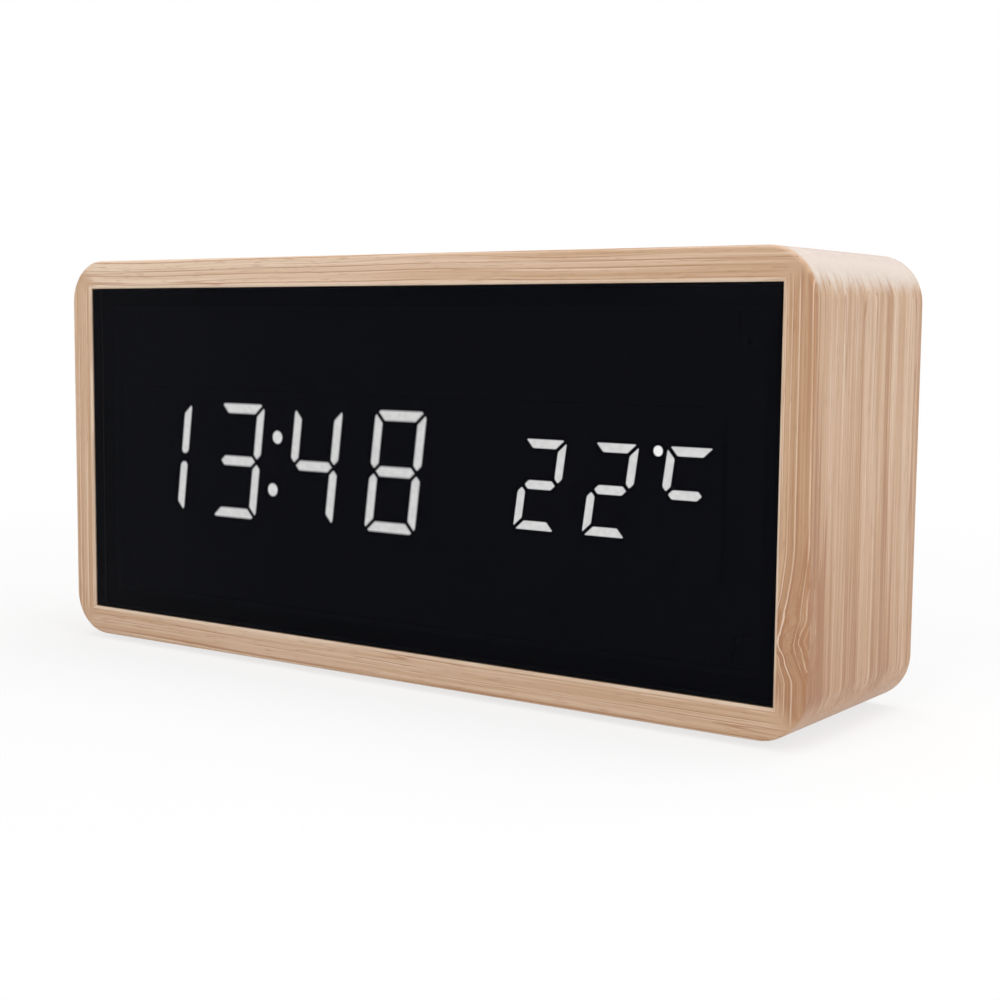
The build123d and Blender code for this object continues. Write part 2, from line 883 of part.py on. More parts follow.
pocket_floor = socket_height - socket_pocket
save(
    "ribbon_cable",
    flat_cable(
        ribbon_x,
        (ribbon_width, ribbon_thickness),
        socket_pocket,
        (pcb_back + pocket_floor, ribbon_start_z),
        (key_board_front - pocket_floor, button_z),
    ),
)
power_board_middle = power_board_top - power_board_thickness / 2
save(
    "power_lead",
    flat_cable(
        inlet_x,
        (power_lead_width, power_lead_thickness),
        0,
        (pcb_back, power_board_middle + power_lead_rise),
        (power_board_front, power_board_middle),
    ),
)

# Rear cover, with the battery bay, the button holes, the inlet and its board rails
post_places = [(x * post_place_x, z * post_place_z) for x in (-1, 1) for z in (-1, 1)]
head_seat = cover_back - cover_head_height - screw_head_sink
key_post_xs = (button_xs[0] - key_post_offset, button_xs[-1] + key_post_offset)
key_post_places = [(x, button_z) for x in key_post_xs]
hinge_centre = (hinge_x, depth_y(hinge_depth))
knuckle_radius = knuckle_diameter / 2 + knuckle_gap
rib_left = hinge_x - knuckle_radius - hinge_rib
rib_height = knuckle_length + 2 * (knuckle_gap + trunnion_length + trunnion_end_gap + hinge_rib)
rib_front = hinge_depth - knuckle_radius - hinge_rib
rail_x = power_board_width / 2 - groove_depth
rail_height = power_board_thickness + 2 * rail_lip


def inlet_outline(grow):
    """The inlet's outline about its middle, wide above and narrower below."""
    half, low_half = inlet_width / 2 + grow, inlet_width / 2 * inlet_lower_share + grow
    top = inlet_height / 2 + grow
    shoulder = inlet_height * (inlet_shoulder_share - 1 / 2)
    return [
        (-half, top),
        (-half, -shoulder),
        (-low_half, -top),
        (low_half, -top),
        (half, -shoulder),
        (half, top),
    ]


with BuildPart() as rear_cover:
    with BuildSketch(at_depth(cover_front)):
        RectangleRounded(
            opening_width - 2 * cover_clearance,
            opening_height - 2 * cover_clearance,
            cover_corner,
        )
    extrude(amount=-cover_thickness)
    chamfer(rear_cover.faces().sort_by(Axis.Y)[-1].edges(), cover_edge)
    with BuildSketch(at_depth(cover_front)):
        with Locations((bay_centre_x, 0)):
            Rectangle(bay_length + 2 * bay_wall, bay_height + 2 * bay_wall)
    extrude(amount=cover_front - bay_floor + bay_wall)
    with BuildSketch(at_depth(cover_front)):
        with Locations(((rib_left + bay_left) / 2, 0)):
            Rectangle(bay_left - rib_left, rib_height)
    extrude(amount=cover_front - rib_front)
    with BuildSketch(at_depth(cover_front)):
        with Locations(*key_post_places):
            Circle(key_post_diameter / 2)
    extrude(amount=key_post_length)
    with BuildSketch(at_depth(cover_front)):
        for side in (-1, 1):
            with Locations((inlet_x + side * (rail_x + rail_width / 2), power_board_middle)):
                Rectangle(rail_width, rail_height)
    extrude(amount=rail_length)
    # the bay, the door's seat and the door's hinge
    with BuildSketch(at_depth(cover_back)):
        with Locations((bay_centre_x, 0)):
            Rectangle(bay_length, bay_height)
    extrude(amount=cover_back - bay_floor, mode=Mode.SUBTRACT)
    seat_left = door_left - hinge_edge_gap
    seat_right = door_right + door_gap
    with BuildSketch(at_depth(cover_back)):
        with Locations(((seat_left + seat_right) / 2, 0)):
            Rectangle(seat_right - seat_left, door_height + 2 * door_gap)
        with Locations(((hinge_x + bay_left) / 2, 0)):
            Rectangle(bay_left - hinge_x, knuckle_length + 2 * knuckle_gap)
    extrude(amount=cover_back - seat_depth, mode=Mode.SUBTRACT)
    channel_length = knuckle_length + 2 * knuckle_gap
    with BuildSketch(at_height(-channel_length / 2)):
        with Locations(hinge_centre):
            Circle(knuckle_radius)
            with Locations((0, knuckle_radius / 2)):
                Rectangle(2 * knuckle_radius, knuckle_radius)
    extrude(amount=channel_length, mode=Mode.SUBTRACT)
    socket_span = knuckle_length + 2 * (trunnion_length + trunnion_end_gap)
    with BuildSketch(at_height(-socket_span / 2)):
        with Locations(hinge_centre):
            Circle(trunnion_diameter / 2 + trunnion_clearance)
    extrude(amount=socket_span, mode=Mode.SUBTRACT)
    with BuildSketch(at_depth(cover_back)):
        with Locations((seat_right, 0)):
            RectangleRounded(2 * scoop_reach, scoop_width, scoop_round)
    extrude(amount=scoop_depth, mode=Mode.SUBTRACT)
    # holes
    with BuildSketch(at_depth(cover_back)):
        with Locations(*post_places):
            Circle(cover_head / 2 + screw_head_gap)
    extrude(amount=cover_back - head_seat, mode=Mode.SUBTRACT)
    with BuildSketch(at_depth(cover_back)):
        with Locations(*post_places):
            Circle(cover_shank / 2 + screw_passage)
        for x in button_xs:
            with Locations((x, button_z)):
                Circle(button_diameter / 2 + button_clearance)
        with Locations(buzzer_place):
            Circle(sound_hole_diameter / 2)
            with PolarLocations(sound_hole_pitch, sound_hole_count):
                Circle(sound_hole_diameter / 2)
        with Locations(sensor_place):
            with GridLocations(0, vent_pitch, 1, vent_count):
                SlotOverall(vent_length, vent_width)
        with Locations(inlet_place):
            Polygon(*inlet_outline(inlet_slot_gap), align=None)
    extrude(amount=cover_thickness, mode=Mode.SUBTRACT)
    with BuildSketch(at_depth(cover_back)):
        with Locations(inlet_place):
            RectangleRounded(inlet_relief_width, inlet_relief_height, inlet_relief_round)
    extrude(amount=inlet_relief_depth, mode=Mode.SUBTRACT)
    with BuildSketch(at_depth(key_board_back)):
        with Locations(*key_post_places):
            Circle(board_shank / 2 + screw_clearance)
    extrude(amount=-(board_shank_length - key_board_thickness), mode=Mode.SUBTRACT)
    with BuildSketch(at_depth(cover_front)):
        with Locations((inlet_x, power_board_middle)):
            Rectangle(
                power_board_width + 2 * groove_gap,
                power_board_thickness + 2 * groove_gap,
            )
    extrude(amount=rail_length, mode=Mode.SUBTRACT)
rear_cover.part.label = "rear_cover"
export_step(rear_cover.part, "parts/rear_cover.step")

save("rear_screws", screws(post_places, head_seat, cover_screw, 1))

# Battery door: a plate with a knuckle, two trunnions and a sprung latch tongue
latch_x = door_right - latch_length
with BuildPart() as battery_door:
    with BuildSketch(at_depth(door_front)):
        with Locations(((door_left + door_right) / 2, 0)):
            Rectangle(door_right - door_left, door_height)
        with Locations(((hinge_x + door_left + door_edge) / 2, 0)):
            Rectangle(door_left + door_edge - hinge_x, knuckle_length)
        for side in (-1, 1):
            with Locations((latch_x + latch_length / 2, side * (latch_width + latch_slot) / 2)):
                Rectangle(latch_length, latch_slot, mode=Mode.SUBTRACT)
        with Locations((door_right - latch_length / 2, 0)):
            with GridLocations(grip_pitch, 0, grip_count, 1):
                Rectangle(grip_ridge, latch_width - 2 * latch_slot)
    extrude(amount=-door_thickness)
    with BuildSketch(at_depth(cover_back)):
        with Locations((door_right - latch_length / 2, 0)):
            with GridLocations(grip_pitch, 0, grip_count, 1):
                Rectangle(grip_ridge, latch_width - 2 * latch_slot)
    extrude(amount=-grip_ridge_height)
    with BuildSketch(at_height(-knuckle_length / 2)):
        with Locations(hinge_centre):
            Circle(knuckle_diameter / 2)
    extrude(amount=knuckle_length)
    trunnion_span = knuckle_length + 2 * trunnion_length
    with BuildSketch(at_height(-trunnion_span / 2)):
        with Locations(hinge_centre):
            Circle(trunnion_diameter / 2)
    extrude(amount=trunnion_span)
battery_door.part.label = "battery_door"
export_step(battery_door.part, "parts/battery_door.step")


# Battery cells and contacts, each cell turned end for end from its neighbour
def cell_row(number):
    """The height of a cell's axis above the case's middle, and the side its nub is on."""
    height = ((cell_count - 1) / 2 - number) * cell_pitch
    return height, 1 if number % 2 == 0 else -1


for number in range(cell_count):
    cell_z, nub_side = cell_row(number)
    nub_wall = bay_right if nub_side > 0 else bay_left
    nub_tip = nub_wall - nub_side * contact_thickness
    axis_place = (depth_y(cell_depth), case_middle + cell_z)
    with BuildPart() as cell:
        with BuildSketch(Plane.YZ.offset(nub_tip - nub_side * nub_height)):
            with Locations(axis_place):
                Circle(cell_diameter / 2)
        extrude(amount=-nub_side * (cell_length - nub_height))
        chamfer(cell.edges().filter_by(GeomType.CIRCLE), cell_edge)
        with BuildSketch(Plane.YZ.offset(nub_tip)):
            with Locations(axis_place):
                Circle(nub_diameter / 2)
        extrude(amount=-nub_side * nub_height)
    save(f"aaa_cell_{number + 1}", cell.part)

with BuildPart() as battery_plates:
    for number in range(cell_count):
        cell_z, nub_side = cell_row(number)
        nub_wall = bay_right if nub_side > 0 else bay_left
        with BuildSketch(Plane.YZ.offset(nub_wall)):
            with Locations((depth_y(cell_depth), case_middle + cell_z)):
                Rectangle(contact_height, contact_width)
        extrude(amount=-nub_side * contact_thickness)
battery_plates.part.label = "battery_plates"
export_step(battery_plates.part, "parts/battery_plates.step")

with BuildPart() as battery_springs:
    for number in range(cell_count):
        cell_z, nub_side = cell_row(number)
        wall = bay_left if nub_side > 0 else bay_right
        middle_y = depth_y(cell_depth)
        low_y, high_y = middle_y - contact_height / 2, middle_y + contact_height / 2
        with BuildSketch(at_height(cell_z - contact_width / 2)):
            Polygon(
                (wall, low_y),
                (wall + nub_side * spring_reach, middle_y),
                (wall, high_y),
                align=None,
            )
            Polygon(
                (wall + nub_side * contact_thickness, low_y + spring_leaf + contact_thickness),
                (wall + nub_side * (spring_reach - spring_leaf), middle_y),
                (wall + nub_side * contact_thickness, high_y - spring_leaf - contact_thickness),
                align=None,
                mode=Mode.SUBTRACT,
            )
        extrude(amount=contact_width)
battery_springs.part.label = "battery_springs"
export_step(battery_springs.part, "parts/battery_springs.step")


def bend_radii(points):
    """The largest tangent arcs that a route's corners take: 0.45 of the shorter run."""
    radii = []
    for before, corner, after in zip(points, points[1:], points[2:]):
        run_in, run_out = Vector(*corner) - Vector(*before), Vector(*after) - Vector(*corner)
        turn = radians(run_in.get_angle(run_out))
        radii.append(bend_share * min(run_in.length, run_out.length) / tan(turn / 2))
    return radii


bend_share = 0.45
lead_socket_x = battery_socket_place[0]
lead_start_z = bay_height / 2 + bay_wall
lead_turn_z = lead_start_z + lead_standoff
lead_depth = (bay_floor - bay_wall + pcb_back + socket_height) / 2
lead_end = pcb_back + pocket_floor


def battery_lead(start_x, side_z):
    """A lead from the bay's upper (1) or lower (-1) wall round to its socket on the board."""
    inner_z = lead_pitch / 2
    route_points = [(start_x, cell_depth, lead_start_z), (start_x, cell_depth, lead_turn_z)]
    if start_x != lead_socket_x:
        route_points.append((lead_socket_x, cell_depth, lead_turn_z))
    route_points.append((lead_socket_x, lead_depth, lead_turn_z))
    route_points.append((lead_socket_x, lead_depth, inner_z))
    route_points.append((lead_socket_x, lead_end, inner_z))
    placed = [(x, depth_y(depth), case_middle + side_z * z) for x, depth, z in route_points]
    radii = bend_radii(placed)
    with BuildPart() as wire:
        with BuildLine() as route:
            FilletPolyline(*placed, radius=radii)
        with BuildSketch(at_height(side_z * lead_start_z)):
            with Locations((start_x, depth_y(cell_depth))):
                Circle(lead_diameter / 2)
        sweep(path=route.wire())
    return wire.part, radii


for name, start_x, side_z in (
    ("battery_wire_red", lead_socket_x, 1),
    ("battery_wire_black", bay_left + lead_inset, -1),
):
    wire_part, radii = battery_lead(start_x, side_z)
    save(name, wire_part)
    print(name, "bend radii", [round(radius, 1) for radius in radii])

# Push-buttons, each with its switch's plunger, and the board behind them
for name, x in zip(button_names, button_xs):
    place = (x, button_z)
    with BuildPart() as button:
        with BuildSketch(at_depth(flange_rear)):
            with Locations(place):
                Circle(button_diameter / 2)
        extrude(amount=-(cover_back + button_proud - flange_rear))
        fillet(button.faces().sort_by(Axis.Y)[-1].edges(), button_round)
        with BuildSketch(at_depth(flange_rear)):
            with Locations(place):
                Circle(button_flange_diameter / 2)
        extrude(amount=button_flange_thickness)
        with BuildSketch(at_depth(plunger_back)):
            with Locations(place):
                Circle(button_stem_diameter / 2)
        extrude(amount=-(flange_rear - plunger_back))
    save(name, button.part)
    with BuildPart() as plunger:
        with BuildSketch(at_depth(plunger_back)):
            with Locations(place):
                Circle(plunger_diameter / 2)
        extrude(amount=plunger_proud + plunger_sink)
    save(name.replace("button", "plunger"), plunger.part)

with BuildPart() as switch_bodies:
    with BuildSketch(at_depth(key_board_back)):
        for x in button_xs:
            with Locations((x, button_z)):
                Rectangle(switch_size, switch_size)
    extrude(amount=-switch_height)
    with BuildSketch(at_depth(key_board_back + switch_height)):
        for x in button_xs:
            with Locations((x, button_z)):
                Circle(plunger_diameter / 2 + plunger_clearance)
    extrude(amount=switch_pocket, mode=Mode.SUBTRACT)
switch_bodies.part.label = "switch_bodies"
export_step(switch_bodies.part, "parts/switch_bodies.step")

with BuildPart() as key_board:
    key_board_middle = (key_post_xs[0] + key_post_xs[1]) / 2
    key_board_width = key_post_xs[1] - key_post_xs[0] + 2 * key_board_margin
    with BuildSketch(at_depth(key_board_front)):
        with Locations((key_board_middle, button_z)):
            Rectangle(key_board_width, key_board_height)
        with Locations(*key_post_places):
            Circle(board_shank / 2 + screw_passage, mode=Mode.SUBTRACT)
    extrude(amount=-key_board_thickness)
key_board.part.label = "key_board"
export_step(key_board.part, "parts/key_board.step")

save("key_board_screws", screws(key_post_places, key_board_front, board_screw, -1))

# Power inlet on its own small board
inlet_back = cover_back - inlet_setback
with BuildPart() as inlet_shell:
    with BuildSketch(at_depth(inlet_back)):
        with Locations(inlet_place):
            Polygon(*inlet_outline(0), align=None)
    extrude(amount=inlet_length)
    with BuildSketch(at_depth(inlet_back)):
        with Locations(inlet_place):
            Polygon(*inlet_outline(-inlet_wall), align=None)
    extrude(amount=inlet_length - inlet_wall, mode=Mode.SUBTRACT)
inlet_shell.part.label = "usb_socket_shell"
export_step(inlet_shell.part, "parts/usb_socket_shell.step")

inlet_inside = inlet_back - inlet_length + inlet_wall
with BuildPart() as inlet_tongue:
    with BuildSketch(at_depth(inlet_inside)):
        with Locations(inlet_place):
            Polygon(*inlet_outline(-inlet_wall), align=None)
    extrude(amount=-tongue_base)
    with BuildSketch(at_depth(inlet_inside + tongue_base)):
        with Locations(inlet_place):
            Rectangle(tongue_width, tongue_thickness)
    extrude(amount=-tongue_length)
inlet_tongue.part.label = "usb_socket_tongue"
export_step(inlet_tongue.part, "parts/usb_socket_tongue.step")

with BuildPart() as power_board:
    with BuildSketch(at_depth(power_board_front)):
        with Locations((inlet_x, power_board_middle)):
            Rectangle(power_board_width, power_board_thickness)
    extrude(amount=-power_board_length)
power_board.part.label = "power_board"
export_step(power_board.part, "parts/power_board.step")
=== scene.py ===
"""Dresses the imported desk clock: its bamboo case, smoked window, lit digits and black back."""

from __future__ import annotations

import json
import logging
import math
from collections.abc import Callable
from dataclasses import dataclass
from enum import Enum

import bpy
from mathutils import Euler, Matrix, Vector

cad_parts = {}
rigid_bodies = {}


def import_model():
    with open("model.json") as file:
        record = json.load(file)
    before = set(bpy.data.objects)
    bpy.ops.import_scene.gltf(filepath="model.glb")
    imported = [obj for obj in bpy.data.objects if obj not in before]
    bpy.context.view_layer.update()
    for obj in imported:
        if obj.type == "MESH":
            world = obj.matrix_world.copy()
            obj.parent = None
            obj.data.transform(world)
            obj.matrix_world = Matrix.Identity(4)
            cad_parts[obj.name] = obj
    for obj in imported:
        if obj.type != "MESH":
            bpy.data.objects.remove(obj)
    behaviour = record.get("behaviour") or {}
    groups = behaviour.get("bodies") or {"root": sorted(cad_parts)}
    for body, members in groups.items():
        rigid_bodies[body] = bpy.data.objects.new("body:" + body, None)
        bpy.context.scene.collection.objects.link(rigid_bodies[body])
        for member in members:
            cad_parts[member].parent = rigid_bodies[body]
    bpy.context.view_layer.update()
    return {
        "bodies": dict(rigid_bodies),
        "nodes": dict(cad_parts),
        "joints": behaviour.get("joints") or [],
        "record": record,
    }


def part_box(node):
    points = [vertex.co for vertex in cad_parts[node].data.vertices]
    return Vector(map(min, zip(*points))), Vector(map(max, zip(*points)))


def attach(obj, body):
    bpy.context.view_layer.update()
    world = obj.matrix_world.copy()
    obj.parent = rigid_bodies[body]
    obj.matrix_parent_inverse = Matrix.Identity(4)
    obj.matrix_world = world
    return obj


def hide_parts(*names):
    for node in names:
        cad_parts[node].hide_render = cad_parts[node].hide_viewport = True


LOG = logging.getLogger("desk_clock")
MM = 0.001
MIDDLE = 0.5  # The middle of a noise and of a line's spacing.
MOST = (0.3, 0.7)  # The values that most of a noise lies between.
FACING = 0.99  # How nearly a normal follows an axis where its face faces that way.
WHITE = (1.0, 1.0, 1.0, 1.0)
Colour = tuple[float, float, float, float]


def screen_colour(red: int, green: int, blue: int) -> Colour:
    """Turns a colour as a screen shows it into linear values.

    Args:
        red: Red, from 0 to 255.
        green: Green, from 0 to 255.
        blue: Blue, from 0 to 255.

    Returns:
        The linear colour, with full alpha.
    """

    def linear(level: int) -> float:
        """Turns one channel linear, by the sRGB curve."""
        share = level / 255
        return share / 12.92 if share <= 0.04045 else ((share + 0.055) / 1.055) ** 2.4

    return (linear(red), linear(green), linear(blue), 1.0)


def tinted(colour: Colour, share: float) -> Colour:
    """Returns a colour at a share of its brightness, white at most."""
    return tuple(min(1.0, level * share) for level in colour[:3]) + (1.0,)


class Grain(Enum):
    """The way that a board's fibres run: the axes along it, through its depth and its thickness."""

    LEVEL = ("X", "Y", "Z")
    UPRIGHT = ("Z", "Y", "X")


class Sum(Enum):
    """The sums that the finishes are worked out with."""

    ADD = "ADD"
    SUBTRACT = "SUBTRACT"
    MULTIPLY = "MULTIPLY"
    SMALLER = "MINIMUM"
    SIZE = "ABSOLUTE"
    FLOOR = "FLOOR"
    FRACTION = "FRACT"


@dataclass(frozen=True)
class Pattern:
    """A noise.

    Attributes:
        rates: How fast it changes along each axis, in steps a millimetre.
        detail: How many finer noises are laid on it.
        roughness: How strong those are.
        reach: How far a value strays that follows it, from end to end.
    """

    rates: tuple[float, float, float]
    detail: float
    roughness: float = 0.5
    reach: float = 1.0


@dataclass(frozen=True)
class Span:
    """A stretch of a value, and the range that it is spread over smoothly.

    Attributes:
        low: Where the stretch starts.
        high: Where it ends.
        start: The result at its start.
        end: The result at its end.
    """

    low: float
    high: float
    start: float = 0.0
    end: float = 1.0


class NodeSheet:
    """The node tree of a material or of the world, with short calls for its nodes."""

    def __init__(self, owner: bpy.types.Material | bpy.types.World) -> None:
        """Clears the tree.

        Args:
            owner: The material or the world.
        """
        owner.use_nodes = True
        self.owner = owner
        self.tree = owner.node_tree
        self.tree.nodes.clear()

    def add(self, kind: str, inputs: dict[str | int, object], **settings: object) -> bpy.types.Node:
        """Adds a node.

        Args:
            kind: The node's type, without its ShaderNode beginning.
            inputs: A number, a colour or a signal for each named socket.
            **settings: The node's own properties.

        Returns:
            The new node.
        """
        node = self.tree.nodes.new("ShaderNode" + kind)
        for name, value in settings.items():
            setattr(node, name, value)
        for socket, value in inputs.items():
            if isinstance(value, Signal):
                self.tree.links.new(value.socket, node.inputs[socket])
            else:
                node.inputs[socket].default_value = value
        return node

    def node(
        self, kind: str, inputs: dict[str | int, object], output: str | int = 0, **settings: object
    ) -> Signal:
        """Adds a node, as add does, and returns one of its outputs."""
        return Signal(self, self.add(kind, inputs, **settings).outputs[output])

    def sum(
        self, kind: Sum, first: Signal | float, second: Signal | float = 0.0, clamp: bool = False
    ) -> Signal:
        """Adds a sum of two values, kept from 0 to 1 if it is clamped."""
        return self.node("Math", {0: first, 1: second}, operation=kind.value, use_clamp=clamp)

    def millimetres(self) -> Signal:
        """Returns the place on the object, in millimetres."""
        place = self.node("TexCoord", {}, "Object")
        return self.node("VectorMath", {0: place, "Scale": 1 / MM}, operation="SCALE")

    def axes(self, names: tuple[str, ...]) -> list[Signal]:
        """Returns the place on the object along some axes, in millimetres."""
        outputs = self.add("SeparateXYZ", {0: self.millimetres()}).outputs
        return [Signal(self, outputs[name]) for name in names]

    def surface(self, inputs: dict[str | int, object]) -> bpy.types.Material:
        """Ends the tree in a principled surface.

        Args:
            inputs: The surface's sockets.

        Returns:
            The finished material.
        """
        self.add("OutputMaterial", {"Surface": self.node("BsdfPrincipled", inputs)})
        return self.owner


@dataclass(frozen=True)
class Signal:
    """A node's output, which is worked on with plain arithmetic and short calls.

    Attributes:
        sheet: The node sheet that it is on.
        socket: The output.
    """

    sheet: NodeSheet
    socket: bpy.types.NodeSocket

    def __add__(self, other: Signal | float) -> Signal:
        """Adds a value to it."""
        return self.sheet.sum(Sum.ADD, self, other)

    def __sub__(self, other: Signal | float) -> Signal:
        """Takes a value away from it."""
        return self.sheet.sum(Sum.SUBTRACT, self, other)

    def __rsub__(self, other: float) -> Signal:
        """Takes it away from a number."""
        return self.sheet.sum(Sum.SUBTRACT, other, self)

    def __mul__(self, other: Signal | float) -> Signal:
        """Multiplies it by a value."""
        return self.sheet.sum(Sum.MULTIPLY, self, other)

    def __abs__(self) -> Signal:
        """Drops its sign."""
        return self.sheet.sum(Sum.SIZE, self)

    def spread(self, low: float, high: float, start: float = 0.0, end: float = 1.0) -> Signal:
        """Spreads it smoothly from between two limits to between a start and an end."""
        limits = {"Value": self, "From Min": low, "From Max": high, "To Min": start, "To Max": end}
        return self.sheet.node("MapRange", limits, interpolation_type="SMOOTHSTEP")

    def over(self, span: Span) -> Signal:
        """Spreads it as a span says."""
        return self.spread(span.low, span.high, span.start, span.end)

    def about(self, value: float, change: tuple[float, float]) -> Signal:
        """Varies a value by it, as a noise, from the first change to the second."""
        return self.spread(*MOST, value + change[0], value + change[1])

    def hump(self, middle: float, reach: float) -> Signal:
        """Makes a smooth hump of it, 1 at the middle and 0 past the reach."""
        return abs(self - middle).spread(0.0, reach, 1.0, 0.0)

    def noise(self, pattern: Pattern) -> Signal:
        """Reads a noise at it, as a place in millimetres.

        Args:
            pattern: The noise.

        Returns:
            The noise's value, about 0.5.
        """
        scaled = self.sheet.node("VectorMath", {0: self, 1: pattern.rates}, operation="MULTIPLY")
        inputs = {"Detail": pattern.detail, "Roughness": pattern.roughness}
        return self.sheet.node("TexNoise", {"Vector": scaled, "Scale": 1.0, **inputs}, "Fac")

    def stray(self, pattern: Pattern) -> Signal:
        """Reads how far a value strays at it, as a place, both ways from 0."""
        return (self.noise(pattern) - MIDDLE) * pattern.reach

    def lot(self) -> Signal:
        """Draws a value from 0 to 1 for it, as a number."""
        return self.sheet.node("TexWhiteNoise", {"W": self}, "Value", noise_dimensions="1D")

    def ramp(self, stops: list[tuple[float, Colour]]) -> Signal:
        """Colours it.

        Args:
            stops: Each place from 0 to 1 and its colour, in order.

        Returns:
            The colour's output.
        """
        made = self.sheet.add("ValToRGB", {"Fac": self})
        elements = made.color_ramp.elements
        while len(elements) < len(stops):
            elements.new(1.0)
        for element, (place, colour) in zip(elements, stops):
            element.position = place
            element.color = colour
        return Signal(self.sheet, made.outputs["Color"])

    def mix(self, first: Signal | Colour, second: Signal | Colour) -> Signal:
        """Mixes two colours, with as much of the second as it says."""
        return self.sheet.node("MixRGB", {"Fac": self, "Color1": first, "Color2": second}, "Color")

    def bump(self, depth: float) -> Signal:
        """Makes relief of it, with a depth in millimetres, and returns the normal."""
        inputs = {"Height": self, "Strength": 1.0, "Distance": depth * MM}
        return self.sheet.node("Bump", inputs, "Normal")


@dataclass(frozen=True)
class CaseShape:
    """The case's outline, which the boards' finishes follow, in millimetres.

    Attributes:
        half_width: Half the case's width.
        low: Its lowest height.
        high: Its greatest height.
        front: The depth of its front face.
        back: The depth of its back face.
        board: The boards' thickness.
    """

    half_width: float
    low: float
    high: float
    front: float
    back: float
    board: float

    @staticmethod
    def read() -> CaseShape:
        """Reads the outline from the boards' boxes.

        Returns:
            The case's outline.
        """
        right_low, right_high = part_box("right_panel")
        top_low, top_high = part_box("top_panel")
        return CaseShape(
            half_width=right_high.x / MM,
            low=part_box("bottom_panel")[0].z / MM,
            high=top_high.z / MM,
            front=right_low.y / MM,
            back=right_high.y / MM,
            board=(top_high.z - top_low.z) / MM,
        )

    def from_side(self, across: Signal) -> Signal:
        """Returns how far a place is from the nearer side."""
        return self.half_width - abs(across)

    def from_end(self, height: Signal) -> Signal:
        """Returns how far a place is from the nearer of the top and the bottom."""
        middle = (self.high + self.low) / 2
        return self.high - middle - abs(height - middle)


@dataclass(frozen=True)
class Knuckle:
    """A joint of the bamboo stem, where a strip's fibres bulge and curl, in millimetres.

    Attributes:
        along: Where it is along the fibres.
        depth: The depth of the middle of its strip.
        reach: How far it reaches along the fibres on its slow side.
        snap: How far it reaches on its quick side.
        strip: Half the strip's width.
        bulge: How far the fibres are pushed aside at its middle.
        curl: How far they curl about it.
        turns: How the curls lie.
        ripple: How the finer ripples on them lie.
        ripple_share: How strong those are.
        lean: The value of both at which a fibre keeps its place.
    """

    along: float
    depth: float
    reach: float = 15.0
    snap: float = 5.0
    strip: float = 4.6
    bulge: float = 1.8
    curl: float = 3.6
    turns: Pattern = Pattern((0.24, 0.3, 0.3), detail=0.0)
    ripple: Pattern = Pattern((0.9, 0.5, 0.7), detail=1.0)
    ripple_share: float = 0.2
    lean: float = 0.6

    def near(self, along: Signal, depth: Signal) -> Signal:
        """Says how near a place is to it, from 0 to 1.

        Args:
            along: The place along the fibres.
            depth: The place through the clock's depth.

        Returns:
            1 at its middle, 0 past its reach.
        """
        away = along - self.along
        slow = away.spread(0.0, self.reach, 1.0, 0.0)
        return slow * away.spread(-self.snap, 0.0) * depth.hump(self.depth, self.strip)

    def curls(self, place: Signal, near: Signal) -> Signal:
        """Returns how far a fibre curls at a place, by how near that is."""
        curl = place.noise(self.turns) + place.noise(self.ripple) * self.ripple_share
        return (curl - self.lean) * self.curl * (near * near)


@dataclass(frozen=True)
class Shade:
    """How a board darkens along its length.

    Attributes:
        start: Where it is darkest, along the fibres, in millimetres.
        end: Where it is no darker any more, in millimetres.
        amount: How much darker it is.
    """

    start: float = 0.0
    end: float = 1.0
    amount: float = 0.0


@dataclass(frozen=True)
class FrontStrip:
    """The strip along the front, which widens and darkens towards its foot, in millimetres.

    Attributes:
        widens: Between which heights it widens.
        darkens: Between which heights it darkens.
        foot: The depth that it reaches at its foot.
        narrow: How far behind the front face it reaches above.
        soft: How softly it ends.
        ragged: How its ends stray along the fibres.
    """

    widens: tuple[float, float] = (27.0, 45.0)
    darkens: tuple[float, float] = (22.0, 56.0)
    foot: float = -13.0
    narrow: float = 1.6
    soft: float = 0.7
    ragged: Pattern = Pattern((0.012, 1.7, 0.1), detail=2.0, reach=60.0)


@dataclass(frozen=True)
class FineLines:
    """The thin cream and ruddy lines on the front face and the seams all over.

    Attributes:
        spacing: The lines' spacing, in millimetres.
        width: Half of a line's width, in millimetres.
        wander: Where the lines show and where they fade.
        shown: How far they show by that noise.
        knotted: How much more they show by how near the knuckle is.
        uneven: How their spacing strays.
        seam: The noise whose middle value draws the seams.
        seam_width: How strongly a seam shows by how far that value is.
    """

    spacing: float = 1.32
    width: float = 0.2
    wander: Pattern = Pattern((0.05, 0.3, 0.9), detail=1.0)
    shown: Span = Span(0.32, 0.56, 0.1, 0.7)
    knotted: Span = Span(0.05, 0.6, 0.0, 0.3)
    uneven: Pattern = Pattern((0.003, 0.0, 0.5), detail=0.0, reach=2.4)
    seam: Pattern = Pattern((0.006, 0.62, 0.5), detail=0.0)
    seam_width: Span = Span(0.0, 0.014, 0.6, 0.0)

    def lines(self, rise: Signal, start: float) -> Signal:
        """Draws lines through a board's thickness, the first one at the start."""
        turns = (rise - (start - self.spacing / 2)) * (1 / self.spacing)
        return rise.sheet.sum(Sum.FRACTION, turns).hump(MIDDLE, self.width / self.spacing)


